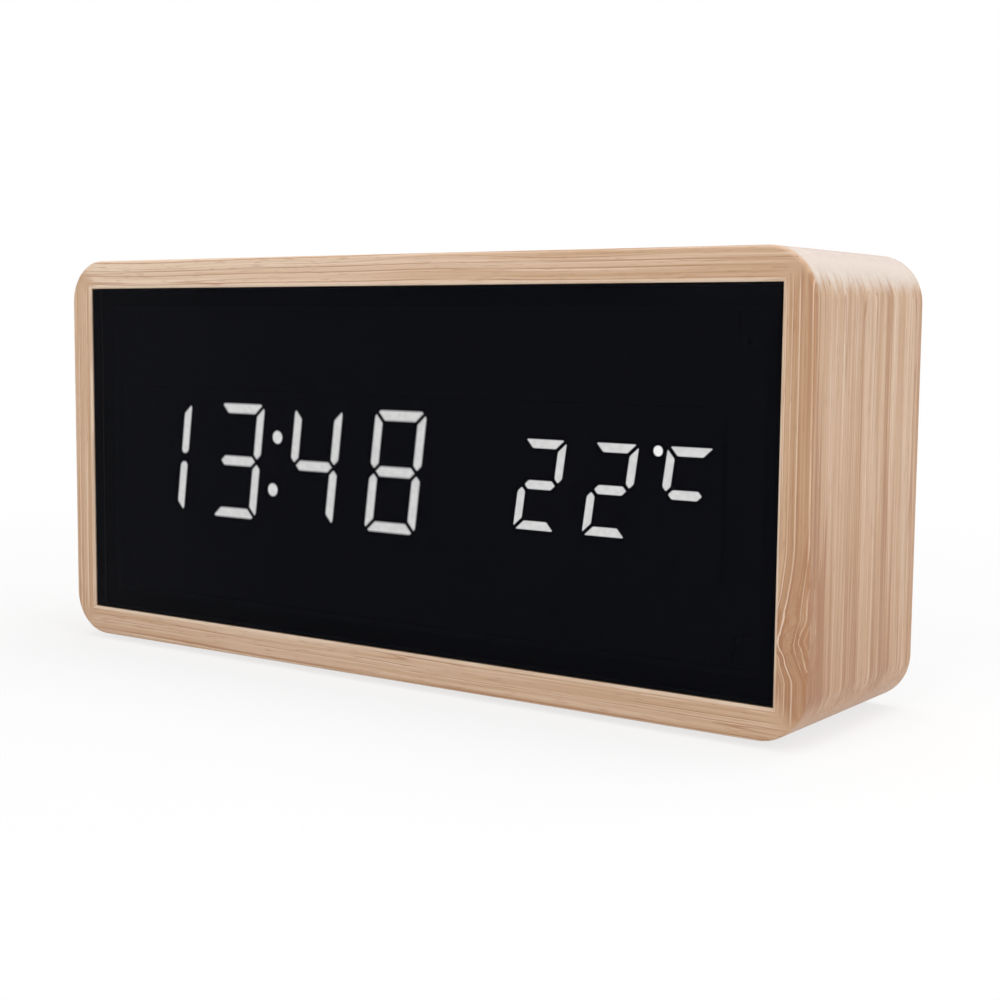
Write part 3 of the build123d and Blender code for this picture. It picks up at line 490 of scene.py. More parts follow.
@dataclass(frozen=True)
class SandedArrisAndCornerLight:
    """The edge round the opening, sanded through the fibres, and the rounded corners, where
    highlight and shade are painted, in millimetres.

    Attributes:
        arris: How far outside the opening the sanded edge starts and is full.
        worn: The noise by which the sanded edge round the opening wears.
        arris_shown: How far it shows by that noise.
        end: Where a rounded corner starts and is full, past the top or bottom.
        side: Where it starts and is full, past the side.
        ragged: How a corner's end strays.
        mitre: How far from the mitre two boards blend.
        mitre_share: How much of the grain is lost there.
        upper_highlight: How strong the painted highlight on the upper corners is.
        lower_shade: How strong the painted shade on the lower corners is.
    """

    arris: tuple[float, float] = (0.55, 0.3)
    worn: Pattern = Pattern((0.08, 0.4, 0.4), detail=1.0)
    arris_shown: Span = Span(0.35, 0.6, 0.55, 1.0)
    end: Span = Span(-6.6, -3.6)
    side: Span = Span(-8.5, -4.0)
    ragged: Pattern = Pattern((0.05, 1.3, 0.1), detail=2.0, reach=5.0)
    mitre: float = 3.4
    mitre_share: float = 0.88
    upper_highlight: float = 0.62
    lower_shade: float = 0.7


@dataclass(frozen=True)
class Fibres:
    """Where a point lies among a board's fibres, as outputs of its node sheet.

    Attributes:
        along: The place along the fibres.
        depth: The place through the clock's depth.
        rise: The place through the board's thickness.
        place: All three, as one vector.
        near: How near the knuckle it is, from 0 to 1.
        face: 1 on the case's front face, 0 behind it.
        outside: 1 on the faces that run round the case, 0 on its front and back.
    """

    along: Signal
    depth: Signal
    rise: Signal
    place: Signal
    near: Signal
    face: Signal
    outside: Signal


@dataclass(frozen=True)
class BambooFinish:
    """Oiled bamboo, glued from strips, with fine straight fibres and one knuckle.

    Attributes:
        name: The material's name.
        grain: The way that the fibres run.
        shape: The case's outline.
        knuckle: Where one strip's fibres bulge.
        shift: How far the pattern is moved, so that no two boards look alike, in millimetres.
        front_strip: How much darker the frontmost strip is behind the front face.
        front_face: How much darker the front face is.
        line_start: Where the first cream line lies through the board, in millimetres.
        shade: How it darkens along its length.
        strip: The strip along the front.
        fine: The lines and the seams.
        edges: The sanded edge round the opening, and the corners with painted highlight and painted
            shade.
        white: The painted highlight on the upper corners.
        cream: The palest fibres, at a tone of 1.
        pale: The pale fibres.
        honey: The darker fibres.
        ruddy: The darkest fibres, at a tone of 0.
        blend: The colour over a mitre.
        dusk: The painted shade on the lower corners.
        pale_tone: The pale fibres' tone.
        honey_tone: The darker fibres' tone.
        fibre: The fine fibres.
        streak: The broad streaks.
        shares: The fibres' and the streaks' shares in the tone.
        strip_width: The glued strips' width, in millimetres.
        strip_edge: Where one of them starts, in millimetres of depth.
        strip_tone: How far two strips can differ in tone.
        tone_span: Which tones the colours are spread over.
        drift: How the fibres drift aside.
        pore: The short dark pores.
        pore_span: How they show by their noise.
        pore_share: How dark they are.
        pore_depth: How deep they are, in the fibres' depth.
        face_depth: How far behind the front its face starts to end and has ended, in millimetres.
        rounds: The same for both edges of the faces round the case.
        relief: The fibres' depth, in millimetres.
        roughness: How matt it is.
        gloss: How its roughness varies by the fibres' noise.
        specular: How strong its gloss is.
    """

    name: str
    grain: Grain
    shape: CaseShape
    knuckle: Knuckle
    shift: float
    front_strip: float
    front_face: float
    line_start: float
    shade: Shade = Shade()
    strip: FrontStrip = FrontStrip()
    fine: FineLines = FineLines()
    edges: SandedArrisAndCornerLight = SandedArrisAndCornerLight()
    # Painted highlight: the pale colour laid on the upper rounded corners.
    white: Colour = screen_colour(232, 226, 220)
    cream: Colour = screen_colour(238, 212, 187)
    pale: Colour = screen_colour(221, 189, 160)
    honey: Colour = screen_colour(204, 166, 132)
    ruddy: Colour = screen_colour(172, 121, 85)
    blend: Colour = screen_colour(206, 169, 137)
    # Painted shade: the darker colour laid on the lower rounded corners.
    dusk: Colour = screen_colour(196, 155, 122)
    pale_tone: float = 0.68
    honey_tone: float = 0.36
    fibre: Pattern = Pattern((0.02, 2.1, 2.1), detail=3.0, roughness=0.62)
    streak: Pattern = Pattern((0.007, 0.5, 0.62), detail=2.0)
    shares: tuple[float, float] = (0.45, 0.55)
    strip_width: float = 5.6
    strip_edge: float = -15.6
    strip_tone: float = 0.1
    tone_span: Span = Span(0.2, 0.84)
    drift: Pattern = Pattern((0.013, 0.03, 0.03), detail=1.0, reach=2.4)
    pore: Pattern = Pattern((0.3, 4.6, 4.6), detail=1.0)
    pore_span: Span = Span(0.58, 0.74)
    pore_share: float = 0.36
    pore_depth: float = 2.0
    face_depth: tuple[float, float] = (0.3, 0.9)
    rounds: tuple[float, float] = (0.2, 1.2)
    relief: float = 0.035
    roughness: float = 0.4
    gloss: tuple[float, float] = (0.08, -0.06)
    specular: float = 0.4

    def build(self) -> bpy.types.Material:
        """Makes the material.

        Returns:
            The finished material.
        """
        sheet = NodeSheet(bpy.data.materials.new(self.name))
        across, height, *axes = sheet.axes(("X", "Z", *self.grain.value))
        fibres = self.follow(*axes)
        fibre = fibres.place.noise(self.fibre)
        colour = self.draw_lines(fibres, self.tone(fibres, fibre).ramp(self.stops()))
        from_mitre = self.shape.from_side(across) - self.shape.from_end(height)
        mitre = from_mitre.hump(0.0, self.edges.mitre) * self.edges.mitre_share
        colour = mitre.mix(colour, self.blend)
        pores = fibres.place.noise(self.pore).over(self.pore_span) * self.pore_share
        colour = pores.mix(colour, self.ruddy)
        colour = self.arris(fibres, across, height).mix(colour, self.cream)
        # Painted shade on the lower rounded corners.
        low_corner_shade = self.corner(fibres, across, self.shape.low - height) * self.edges.lower_shade
        # Painted highlight, a whitish sheen, on the upper rounded corners.
        worn = self.corner(fibres, across, height - self.shape.high) * self.edges.upper_highlight
        colour = worn.mix(low_corner_shade.mix(colour, self.dusk), self.white)
        return sheet.surface(
            {
                "Base Color": colour,
                "Roughness": fibre.about(self.roughness, self.gloss),
                "Specular IOR Level": self.specular,
                "Normal": (fibre - pores * self.pore_depth).bump(self.relief),
            }
        )

    def stops(self) -> list[tuple[float, Colour]]:
        """Returns the colours from the darkest fibre to the lightest."""
        middle = [(self.honey_tone, self.honey), (self.pale_tone, self.pale)]
        return [(0.0, self.ruddy), *middle, (1.0, self.cream)]

    def follow(self, along: Signal, depth: Signal, rise: Signal) -> Fibres:
        """Follows the fibres past the knuckle, where they bulge and curl.

        Args:
            along: The place along the fibres.
            depth: The place through the clock's depth.
            rise: The place through the board's thickness.

        Returns:
            The place among the straightened fibres.
        """
        sheet = along.sheet
        place = sheet.node("CombineXYZ", {"X": along, "Y": depth, "Z": rise})
        near = self.knuckle.near(along, depth)
        push = self.knuckle.curls(place, near) + place.stray(self.drift)
        depth_now = depth + push
        rise_now = rise + (push + near * self.knuckle.bulge)
        moved = sheet.node("CombineXYZ", {"X": along + self.shift, "Y": depth_now, "Z": rise_now})
        front, back = self.shape.front, self.shape.back
        start, end = self.rounds
        outside = depth.spread(front + start, front + end)
        outside = outside * depth.spread(back - end, back - start, 1.0, 0.0)
        start, end = self.face_depth
        face = depth.spread(front + start, front + end, 1.0, 0.0)
        return Fibres(along, depth_now, rise_now, moved, near, face, outside)

    def tone(self, fibres: Fibres, fibre: Signal) -> Signal:
        """Works out how light the wood is, strip by strip and fibre by fibre.

        Args:
            fibres: The place among the fibres.
            fibre: The fine fibres' noise.

        Returns:
            The tone, from 0 to 1.
        """
        fine, broad = self.shares
        tone = fibre * fine + fibres.place.noise(self.streak) * broad
        tone = tone + self.strips(fibres.depth) - self.dark_strip(fibres)
        shade = fibres.along.spread(self.shade.start, self.shade.end, self.shade.amount, 0.0)
        return (tone - shade).over(self.tone_span)

    def strips(self, depth: Signal) -> Signal:
        """Gives each glued strip its own tone to add, about 0."""
        number = depth.sheet.sum(Sum.FLOOR, (depth - self.strip_edge) * (1 / self.strip_width))
        return ((number + self.shift).lot() - MIDDLE) * self.strip_tone

    def dark_strip(self, fibres: Fibres) -> Signal:
        """Darkens the frontmost strip, which widens and is darkest near its foot.

        Args:
            fibres: The place among the fibres.

        Returns:
            The tone to take away.
        """
        strip = self.strip
        along = fibres.along + fibres.place.stray(strip.ragged)
        edge = along.spread(*strip.widens, strip.foot, self.shape.front + strip.narrow)
        inside = (fibres.depth - edge).spread(-strip.soft, 0.0, 1.0, 0.0)
        behind = along.spread(*strip.darkens, self.front_strip, 0.0)
        return inside * along.sheet.node("Mix", {0: fibres.face, 2: behind, 3: self.front_face})

    def draw_lines(self, fibres: Fibres, colour: Signal) -> Signal:
        """Draws the thin cream and ruddy lines that run with the fibres.

        Args:
            fibres: The place among the fibres.
            colour: The wood's colour so far.

        Returns:
            The colour with its lines.
        """
        fine, place = self.fine, fibres.place
        shown = place.noise(fine.wander).over(fine.shown) + fibres.near.over(fine.knotted)
        shown = shown * fibres.face
        rise = fibres.rise + place.stray(fine.uneven)
        beside = self.line_start + fine.width
        for start, ink in ((beside, self.ruddy), (self.line_start, self.cream)):
            colour = (fine.lines(rise, start) * shown).mix(colour, ink)
        seams = abs(place.noise(fine.seam) - MIDDLE).over(fine.seam_width)
        return seams.mix(colour, self.ruddy)

    def arris(self, fibres: Fibres, across: Signal, height: Signal) -> Signal:
        """Finds the sanded edge round the opening, on the front face.

        Args:
            fibres: The place among the fibres.
            across: The place across the clock.
            height: The place up the clock.

        Returns:
            How much of the edge's colour shows, from 0 to 1.
        """
        nearest = (self.shape.from_side(across), self.shape.from_end(height))
        inward = across.sheet.sum(Sum.SMALLER, *nearest)
        edge = inward.spread(*(self.shape.board - away for away in self.edges.arris))
        worn = fibres.place.noise(self.edges.worn).over(self.edges.arris_shown)
        return edge * fibres.face * worn

    def corner(self, fibres: Fibres, across: Signal, climb: Signal) -> Signal:
        """Finds two of the case's rounded corners, for the painted highlight on the upper ones and
        the painted shade on the lower ones.

        Args:
            fibres: The place among the fibres.
            across: The place across the clock.
            climb: How far past the case's top or bottom a place is, below 0 inside the case.

        Returns:
            How much of the corners' painted colour shows, from 0 to 1.
        """
        end = (climb + fibres.place.stray(self.edges.ragged)).over(self.edges.end)
        side = (abs(across) - self.shape.half_width).over(self.edges.side)
        return end * side * fibres.outside


@dataclass(frozen=True)
class MouldedFinish:
    """Moulded plastic, rubber, foam or lacquer, with a fine grain and a faint mottle.

    Attributes:
        name: The material's name.
        colour: Its colour.
        roughness: How matt it is.
        grain: The grain's size, in millimetres.
        relief: The grain's depth, in millimetres.
        mottle: How much its colour varies.
        specular: How strong its gloss is.
        wear: The noise that it varies by.
        gloss: How its roughness varies by that noise.
    """

    name: str
    colour: Colour
    roughness: float = 0.5
    grain: float = 0.3
    relief: float = 0.012
    mottle: float = 0.12
    specular: float = 0.5
    wear: Pattern = Pattern((0.09, 0.09, 0.09), detail=3.0)
    gloss: tuple[float, float] = (-0.05, 0.05)

    def build(self) -> bpy.types.Material:
        """Makes the material.

        Returns:
            The finished material.
        """
        sheet = NodeSheet(bpy.data.materials.new(self.name))
        place, rate = sheet.millimetres(), 1 / self.grain
        grain = place.noise(Pattern((rate, rate, rate), detail=2.0, roughness=0.6))
        wear = place.noise(self.wear)
        darker, lighter = (tinted(self.colour, 1 + side * self.mottle) for side in (-1, 1))
        return sheet.surface(
            {
                "Base Color": wear.spread(*MOST).ramp([(0.0, darker), (1.0, lighter)]),
                "Roughness": wear.about(self.roughness, self.gloss),
                "Specular IOR Level": self.specular,
                "Normal": grain.bump(self.relief),
            }
        )


def hidden_black(name: str, colour: Colour) -> MouldedFinish:
    """Returns a black so matt that nothing of it shows through the window."""
    return MouldedFinish(name, colour, roughness=0.8, grain=0.25, relief=0.01, specular=0.05)


@dataclass(frozen=True)
class MetalFinish:
    """Plated metal, with fine scratches round it.

    Attributes:
        name: The material's name.
        colour: Its colour.
        roughness: How matt it is.
        scratch: The scratches.
        scratch_depth: Their depth, in millimetres.
        gloss: How its roughness varies by them.
        tarnish: The noise that dulls it.
        tarnish_span: How far it is dulled by that noise.
        dull: How bright it is where it is dulled, as a share of its colour.
    """

    name: str
    colour: Colour
    roughness: float = 0.3
    scratch: Pattern = Pattern((0.8, 9.0, 9.0), detail=2.0)
    scratch_depth: float = 0.004
    gloss: tuple[float, float] = (-0.07, 0.1)
    tarnish: Pattern = Pattern((0.35, 0.35, 0.35), detail=3.0)
    tarnish_span: Span = Span(0.4, 0.75)
    dull: float = 0.8

    def build(self) -> bpy.types.Material:
        """Makes the material.

        Returns:
            The finished material.
        """
        sheet = NodeSheet(bpy.data.materials.new(self.name))
        place = sheet.millimetres()
        scratch = place.noise(self.scratch)
        tarnish = place.noise(self.tarnish).over(self.tarnish_span)
        return sheet.surface(
            {
                "Base Color": tarnish.mix(self.colour, tinted(self.colour, self.dull)),
                "Metallic": 1.0,
                "Roughness": scratch.about(self.roughness, self.gloss),
                "Normal": scratch.bump(self.scratch_depth),
            }
        )


@dataclass(frozen=True)
class AcrylicFinish:
    """The smoked window, dark enough to hide all but lit segments.

    Attributes:
        name: The material's name.
        colour: The smoke's colour.
        cover: How much of what is behind it the smoke hides.
        roughness: How matt it is.
        specular: How strong its gloss is.
        haze: The noise that its roughness varies by.
        gloss: How much it does.
    """

    name: str
    colour: Colour
    cover: float = 0.5
    roughness: float = 0.12
    specular: float = 0.02
    haze: Pattern = Pattern((0.04, 0.04, 0.04), detail=2.0)
    gloss: tuple[float, float] = (-0.02, 0.03)

    def build(self) -> bpy.types.Material:
        """Makes the material.

        Returns:
            The finished material.
        """
        sheet = NodeSheet(bpy.data.materials.new(self.name))
        haze = sheet.millimetres().noise(self.haze)
        return sheet.surface(
            {
                "Base Color": self.colour,
                "Roughness": haze.about(self.roughness, self.gloss),
                "Specular IOR Level": self.specular,
                "Alpha": self.cover,
            }
        )


@dataclass(frozen=True)
class GlowFinish:
    """A lit diffuser, matt, and softer towards its rim.

    Attributes:
        name: The material's name.
        light: The light's colour.
        rim: The light's colour at the very rim.
        strength: How bright the light is behind the window.
        attribute: The mesh attribute that is 0 at the rim and 1 inside it.
        body: The diffuser's own colour, under its tinted film.
        roughness: How matt it is.
        specular: How strong its gloss is.
        speck: The specks in its light.
        speck_span: How they show by their noise.
        dim: How bright they are.
    """

    name: str
    light: Colour
    rim: Colour
    strength: float
    attribute: str
    body: Colour = screen_colour(60, 60, 62)
    roughness: float = 0.4
    specular: float = 0.0
    speck: Pattern = Pattern((1.1, 1.1, 1.1), detail=1.0)
    speck_span: Span = Span(0.35, 0.65)
    dim: float = 0.9

    def build(self) -> bpy.types.Material:
        """Makes the material.

        Returns:
            The finished material.
        """
        sheet = NodeSheet(bpy.data.materials.new(self.name))
        inside = sheet.node("Attribute", {}, "Fac", attribute_name=self.attribute)
        speck = sheet.millimetres().noise(self.speck).over(self.speck_span)
        light = speck.mix(tinted(self.light, self.dim), self.light)
        return sheet.surface(
            {
                "Base Color": self.body,
                "Roughness": self.roughness,
                "Specular IOR Level": self.specular,
                "Emission Color": inside.mix(self.rim, light),
                "Emission Strength": self.strength,
            }
        )


@dataclass(frozen=True)
class CircuitFinish:
    """Solder mask with copper tracks that show through it.

    Attributes:
        name: The material's name.
        mask: The bare mask's colour.
        track: The mask's colour over a track.
        pitch: The tracks' spacing, in millimetres.
        length: How many times longer than that they run.
        edge: Where a track ends and the bare mask starts, by the tracks' noise.
        step: How high a track stands, in millimetres.
        roughness: How matt it is.
    """

    name: str
    mask: Colour
    track: Colour
    pitch: float = 1.27
    length: float = 9.0
    edge: Span = Span(0.05, 0.09)
    step: float = 0.02
    roughness: float = 0.35

    def build(self) -> bpy.types.Material:
        """Makes the material.

        Returns:
            The finished material.
        """
        sheet = NodeSheet(bpy.data.materials.new(self.name))
        rate = 1 / self.pitch
        lay = sheet.millimetres().noise(Pattern((rate / self.length, rate, rate), detail=0.0))
        bands = abs(lay - MIDDLE).over(self.edge)
        return sheet.surface(
            {
                "Base Color": bands.mix(self.track, self.mask),
                "Roughness": self.roughness,
                "Normal": bands.bump(self.step),
            }
        )


class Bench:
    """The modelling calls that every piece is made with."""

    @staticmethod
    def clear() -> None:
        """Leaves edit mode and deselects everything."""
        if bpy.context.object and bpy.context.object.mode != "OBJECT":
            bpy.ops.object.mode_set(mode="OBJECT")
        bpy.ops.object.select_all(action="DESELECT")

    @staticmethod
    def take(piece: bpy.types.Object) -> None:
        """Makes one piece the only selected and active one.

        Args:
            piece: The piece.
        """
        Bench.clear()
        piece.select_set(True)
        bpy.context.view_layer.objects.active = piece

    @staticmethod
    def open(piece: bpy.types.Object, kind: str, action: str = "DESELECT") -> None:
        """Goes into edit mode on a piece, with all its faces or edges selected or not.

        Args:
            piece: The piece to edit.
            kind: FACE or EDGE, for what is picked.
            action: SELECT or DESELECT.
        """
        Bench.take(piece)
        bpy.ops.object.mode_set(mode="EDIT")
        bpy.ops.mesh.select_mode(type=kind)
        bpy.ops.mesh.select_all(action=action)

    @staticmethod
    def close() -> None:
        """Leaves edit mode."""
        bpy.ops.object.mode_set(mode="OBJECT")

    @staticmethod
    def extrude(*move: float) -> None:
        """Extrudes the selected faces by a move, in metres."""
        bpy.ops.mesh.extrude_region_move(TRANSFORM_OT_translate={"value": move})

    @staticmethod
    def pick(piece: bpy.types.Object, wanted: Callable[[bpy.types.MeshPolygon], bool]) -> None:
        """Selects the wanted faces of a piece and stays in edit mode.

        Args:
            piece: The piece to edit.
            wanted: Says whether a face is wanted.
        """
        Bench.open(piece, "FACE")
        Bench.close()
        for face in piece.data.polygons:
            face.select = wanted(face)
        bpy.ops.object.mode_set(mode="EDIT")

    @staticmethod
    def copy_node(frame: dict, node: str, name: str) -> bpy.types.Object:
        """Copies a CAD node's mesh as a new piece, merged and cleaned.

        Args:
            frame: The loaded frame.
            node: The CAD node.
            name: The new piece's name.

        Returns:
            The new piece.
        """
        piece = bpy.data.objects.new(name, frame["nodes"][node].data.copy())
        bpy.context.scene.collection.objects.link(piece)
        Bench.take(piece)
        bpy.ops.mesh.customdata_custom_splitnormals_clear()
        Bench.open(piece, "FACE", "SELECT")
        bpy.ops.mesh.remove_doubles(threshold=0.001 * MM)
        bpy.ops.mesh.dissolve_limited(angle_limit=math.radians(1.0))
        Bench.close()
        return piece

    @staticmethod
    def soften(piece: bpy.types.Object, width: float, segments: int = 2) -> None:
        """Rounds a piece's sharp edges and smooths what is left.

        Args:
            piece: The piece.
            width: How wide the rounding is, in metres.
            segments: How many facets it has.
        """
        Bench.take(piece)
        bevel = piece.modifiers.new("edges", "BEVEL")
        bevel.width = width
        bevel.segments = segments
        bevel.limit_method = "ANGLE"
        bevel.angle_limit = math.radians(40.0)
        bpy.ops.object.modifier_apply(modifier=bevel.name)
        Bench.smooth(piece)

    @staticmethod
    def smooth(piece: bpy.types.Object, angle: float = 35.0) -> None:
        """Smooths a piece where its faces meet at less than an angle, in degrees."""
        Bench.take(piece)
        bpy.ops.object.shade_smooth_by_angle(angle=math.radians(angle))

    @staticmethod
    def start(name: str) -> bpy.types.Object:
        """Names the new primitive and puts its place, turn and size into its mesh.

        Args:
            name: The new piece's name.

        Returns:
            The new piece.
        """
        piece = bpy.context.object
        piece.name = name
        Bench.take(piece)
        bpy.ops.object.transform_apply(location=True, rotation=True, scale=True)
        return piece

    @staticmethod
    def dress(piece: bpy.types.Object, *finishes: bpy.types.Material) -> None:
        """Gives a piece its materials, in place of those that it has.

        Args:
            piece: The piece.
            *finishes: The materials, in their order.
        """
        piece.data.materials.clear()
        for finish in finishes:
            piece.data.materials.append(finish)

    @staticmethod
    def dress_nodes(
        frame: dict, finish: BambooFinish | MouldedFinish | MetalFinish | CircuitFinish, *nodes: str
    ) -> None:
        """Gives CAD nodes one finish.

        Args:
            frame: The loaded frame.
            finish: The finish.
            *nodes: The nodes' names.
        """
        material = finish.build()
        for node in nodes:
            Bench.dress(frame["nodes"][node], material)
        LOG.info("%s: %s", finish.name, ", ".join(nodes))

    @staticmethod
    def hand_over(piece: bpy.types.Object, body: str, slot: str, *nodes: str) -> None:
        """Ties a finished piece to its body and hides the nodes that it stands for.

        Args:
            piece: The piece.
            body: The body that it rides on.
            slot: The record's slot for its finish; not used.
            *nodes: The CAD nodes that it replaces.
        """
        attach(piece, body)
        if nodes:
            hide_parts(*nodes)
        LOG.info("%s: %d faces on %s", piece.name, len(piece.data.polygons), body)


@dataclass
class BambooCase:
    """The four mitred boards and the feet.

    Attributes:
        frame: The loaded frame.
        foot_round: The rounding of a foot's edge, in metres.
        foot_facets: How many facets it has.
    """

    frame: dict
    foot_round: float = 0.22 * MM
    foot_facets: int = 3

    def build(self) -> None:
        """Dresses the boards and models the feet."""
        for finish in self.boards(CaseShape.read()):
            Bench.dress_nodes(self.frame, finish, finish.name.replace("bamboo_", "") + "_panel")
        feet = Bench.copy_node(self.frame, "feet", "stick_on_feet")
        Bench.soften(feet, self.foot_round, self.foot_facets)
        black = screen_colour(34, 34, 35)
        rubber = MouldedFinish("foot_rubber_finish", black, roughness=0.75, grain=0.5, relief=0.02)
        Bench.dress(feet, rubber.build())
        Bench.hand_over(feet, "clock_body", "foot_rubber", "feet")

    @staticmethod
    def boards(shape: CaseShape) -> tuple[BambooFinish, ...]:
        """Returns the boards' finishes.

        Args:
            shape: The case's outline.

        Returns:
            The top's, the bottom's, the left and the right board's finish.
        """
        level, upright = Grain.LEVEL, Grain.UPRIGHT
        return (
            BambooFinish(
                "bamboo_top", level, shape, Knuckle(along=-38.0, depth=9.0), shift=17.0,
                front_strip=-0.05, front_face=-0.2, line_start=65.6, shade=Shade(75.0, -75.0, 0.18),
            ),
            BambooFinish(
                "bamboo_bottom", level, shape, Knuckle(along=22.0, depth=12.0), shift=63.0,
                front_strip=0.03, front_face=0.03, line_start=1.7, shade=Shade(75.0, -40.0, 0.09),
            ),
            BambooFinish(
                "bamboo_left", upright, shape, Knuckle(along=52.0, depth=8.0), shift=131.0,
                front_strip=-0.04, front_face=-0.03, line_start=-74.3,
            ),
            BambooFinish(
                "bamboo_right", upright, shape, Knuckle(along=14.5, depth=-18.2), shift=209.0,
                front_strip=0.15, front_face=0.1, line_start=70.6, shade=Shade(4.0, 44.0, 0.1),
            ),
        )


@dataclass(frozen=True)
class Glow:
    """How one group of lit diffusers looks.

    Attributes:
        node: Their CAD node.
        name: The new piece's name.
        edge: The light's colour at the very rim.
        strength: How bright they are behind the window.
        rim: How wide the dim rim is, in metres.
        corner: The rounding of their corners, in metres.
        flat_tips: Whether the leftmost digit's tips are masked flat where they meet.
        light: The light's colour.
    """

    node: str
    name: str
    edge: Colour
    strength: float
    rim: float
    corner: float = 0.0
    flat_tips: bool = False
    light: Colour = screen_colour(237, 237, 236)


@dataclass
class Display:
    """The smoked window and what it covers.

    Attributes:
        frame: The loaded frame.
        window_edge: The rounding of the window's edges, in metres.
        clear_facing: How nearly a face of the window looks forwards or back where it is clear.
        first_digit: How far the leftmost digit reaches to the right, in metres.
        tip_gap: The gap between that digit's two segments, in metres.
        long_side: How much longer than a corner's rounding the sides about it have to be.
        facets: How many facets a rounding has.
        smooth_angle: The angle under which the diffusers' faces are smoothed, in degrees.
        glow: The mesh attribute that holds how lit a place is.
    """

    frame: dict
    window_edge: float = 0.15 * MM
    clear_facing: float = 0.95
    first_digit: float = 6.0 * MM
    tip_gap: float = 1.25 * MM
    long_side: float = 2.1
    facets: int = 3
    smooth_angle: float = 30.0
    glow: str = "glow"

    def build(self) -> None:
        """Models the window and the lit digits, and dresses what is behind them."""
        self.build_window()
        soft, crisp = screen_colour(70, 70, 72), screen_colour(160, 160, 161)
        for glow in (
            Glow(
                "time_segments_lit", "lit_time", soft, strength=3.1,
                rim=0.42 * MM, corner=0.28 * MM, flat_tips=True,
            ),
            Glow("colon_dots", "lit_colon", soft, strength=3.3, rim=0.35 * MM),
            Glow(
                "temperature_segments_lit", "lit_temperature", crisp, strength=3.2,
                rim=0.16 * MM, corner=0.22 * MM,
            ),
            Glow("degree_dot", "lit_degree", crisp, strength=4.1, rim=0.16 * MM),
        ):
            self.build_light(glow)
        black = screen_colour(17, 17, 18)
        carrier = hidden_black("carrier_finish", black)
        Bench.dress_nodes(self.frame, carrier, "display_carrier", "reflector_plate")
        dark = hidden_black("dark_segment_finish", black)
        Bench.dress_nodes(self.frame, dark, "time_segments_unlit", "temperature_segments_unlit")
        foam = screen_colour(16, 16, 17)
        tape = MouldedFinish(
            "tape_finish", foam, roughness=0.85, grain=0.2, relief=0.02, specular=0.05
        )
        Bench.dress_nodes(self.frame, tape, "window_tape")

    def build_window(self) -> None:
        """Models the window as a sheet with fine rounded edges, which are blackened."""
        low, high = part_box("front_window")
        Bench.clear()
        bpy.ops.mesh.primitive_cube_add(size=1.0, location=(low + high) / 2, scale=high - low)
        window = Bench.start("smoked_window")
        Bench.soften(window, self.window_edge, self.facets)
        smoke = AcrylicFinish("smoked_acrylic_finish", screen_colour(17, 18, 24))
        edge = hidden_black("window_edge_finish", screen_colour(15, 15, 16))
        Bench.dress(window, smoke.build(), edge.build())
        for face in window.data.polygons:
            face.material_index = int(abs(face.normal.y) < self.clear_facing)
        Bench.hand_over(window, "clock_body", "smoked_acrylic", "front_window")

    def build_light(self, look: Glow) -> None:
        """Models lit diffusers from their node, with rounded corners and a dim rim.

        Args:
            look: How they look.
        """
        piece = Bench.copy_node(self.frame, look.node, look.name)
        if look.corner:
            self.round_corners(piece, look.corner)
        if look.flat_tips:
            self.flatten_tips(piece)
        Bench.pick(piece, lambda face: face.normal.y < -FACING)
        bpy.ops.mesh.inset(thickness=look.rim, use_even_offset=True)
        Bench.close()
        glow = piece.data.attributes.new(self.glow, "FLOAT", "POINT")
        inner = {number for face in piece.data.polygons if face.select for number in face.vertices}
        for vertex in piece.data.vertices:
            glow.data[vertex.index].value = float(vertex.index in inner)
        Bench.smooth(piece, self.smooth_angle)
        light = GlowFinish(f"{look.name}_light", look.light, look.edge, look.strength, self.glow)
        Bench.dress(piece, light.build())
        Bench.hand_over(piece, "clock_body", "lit_diffuser", look.node)

    def flatten_tips(self, piece: bpy.types.Object) -> None:
        """Cuts the leftmost digit's two segments flat where their tips meet.

        Args:
            piece: The diffusers.
        """
        points = [vertex.co for vertex in piece.data.vertices]
        limit = min(point.x for point in points) + self.first_digit
        heights = [point.z for point in points if point.x < limit]
        middle = (min(heights) + max(heights)) / 2
        for side in (1, -1):
            Bench.pick(
                piece,
                lambda face: face.center.x < limit and (face.center.z - middle) * side > 0,
            )
            bpy.ops.mesh.bisect(
                plane_co=(0, 0, middle + side * self.tip_gap / 2),
                plane_no=(0, 0, side),
                use_fill=True,
                clear_inner=True,
            )
            Bench.close()

    def round_corners(self, piece: bpy.types.Object, corner: float) -> None:
        """Rounds the corners of diffusers in the plane of the digits.

        Args:
            piece: The diffusers.
            corner: The rounding, in metres.
        """
        Bench.open(piece, "EDGE")
        Bench.close()
        points = [vertex.co.copy() for vertex in piece.data.vertices]
        shortest = [math.inf] * len(points)
        upright = []
        for edge in piece.data.edges:
            start, end = (points[number] for number in edge.vertices)
            if abs((end - start).normalized().y) > FACING:
                upright.append(edge)
                continue
            for number in edge.vertices:
                shortest[number] = min(shortest[number], (end - start).length)
        for edge in upright:
            edge.select = shortest[edge.vertices[0]] > self.long_side * corner
        bpy.ops.object.mode_set(mode="EDIT")
        bpy.ops.mesh.bevel(offset=corner, segments=self.facets, affect="EDGES")
        Bench.close()


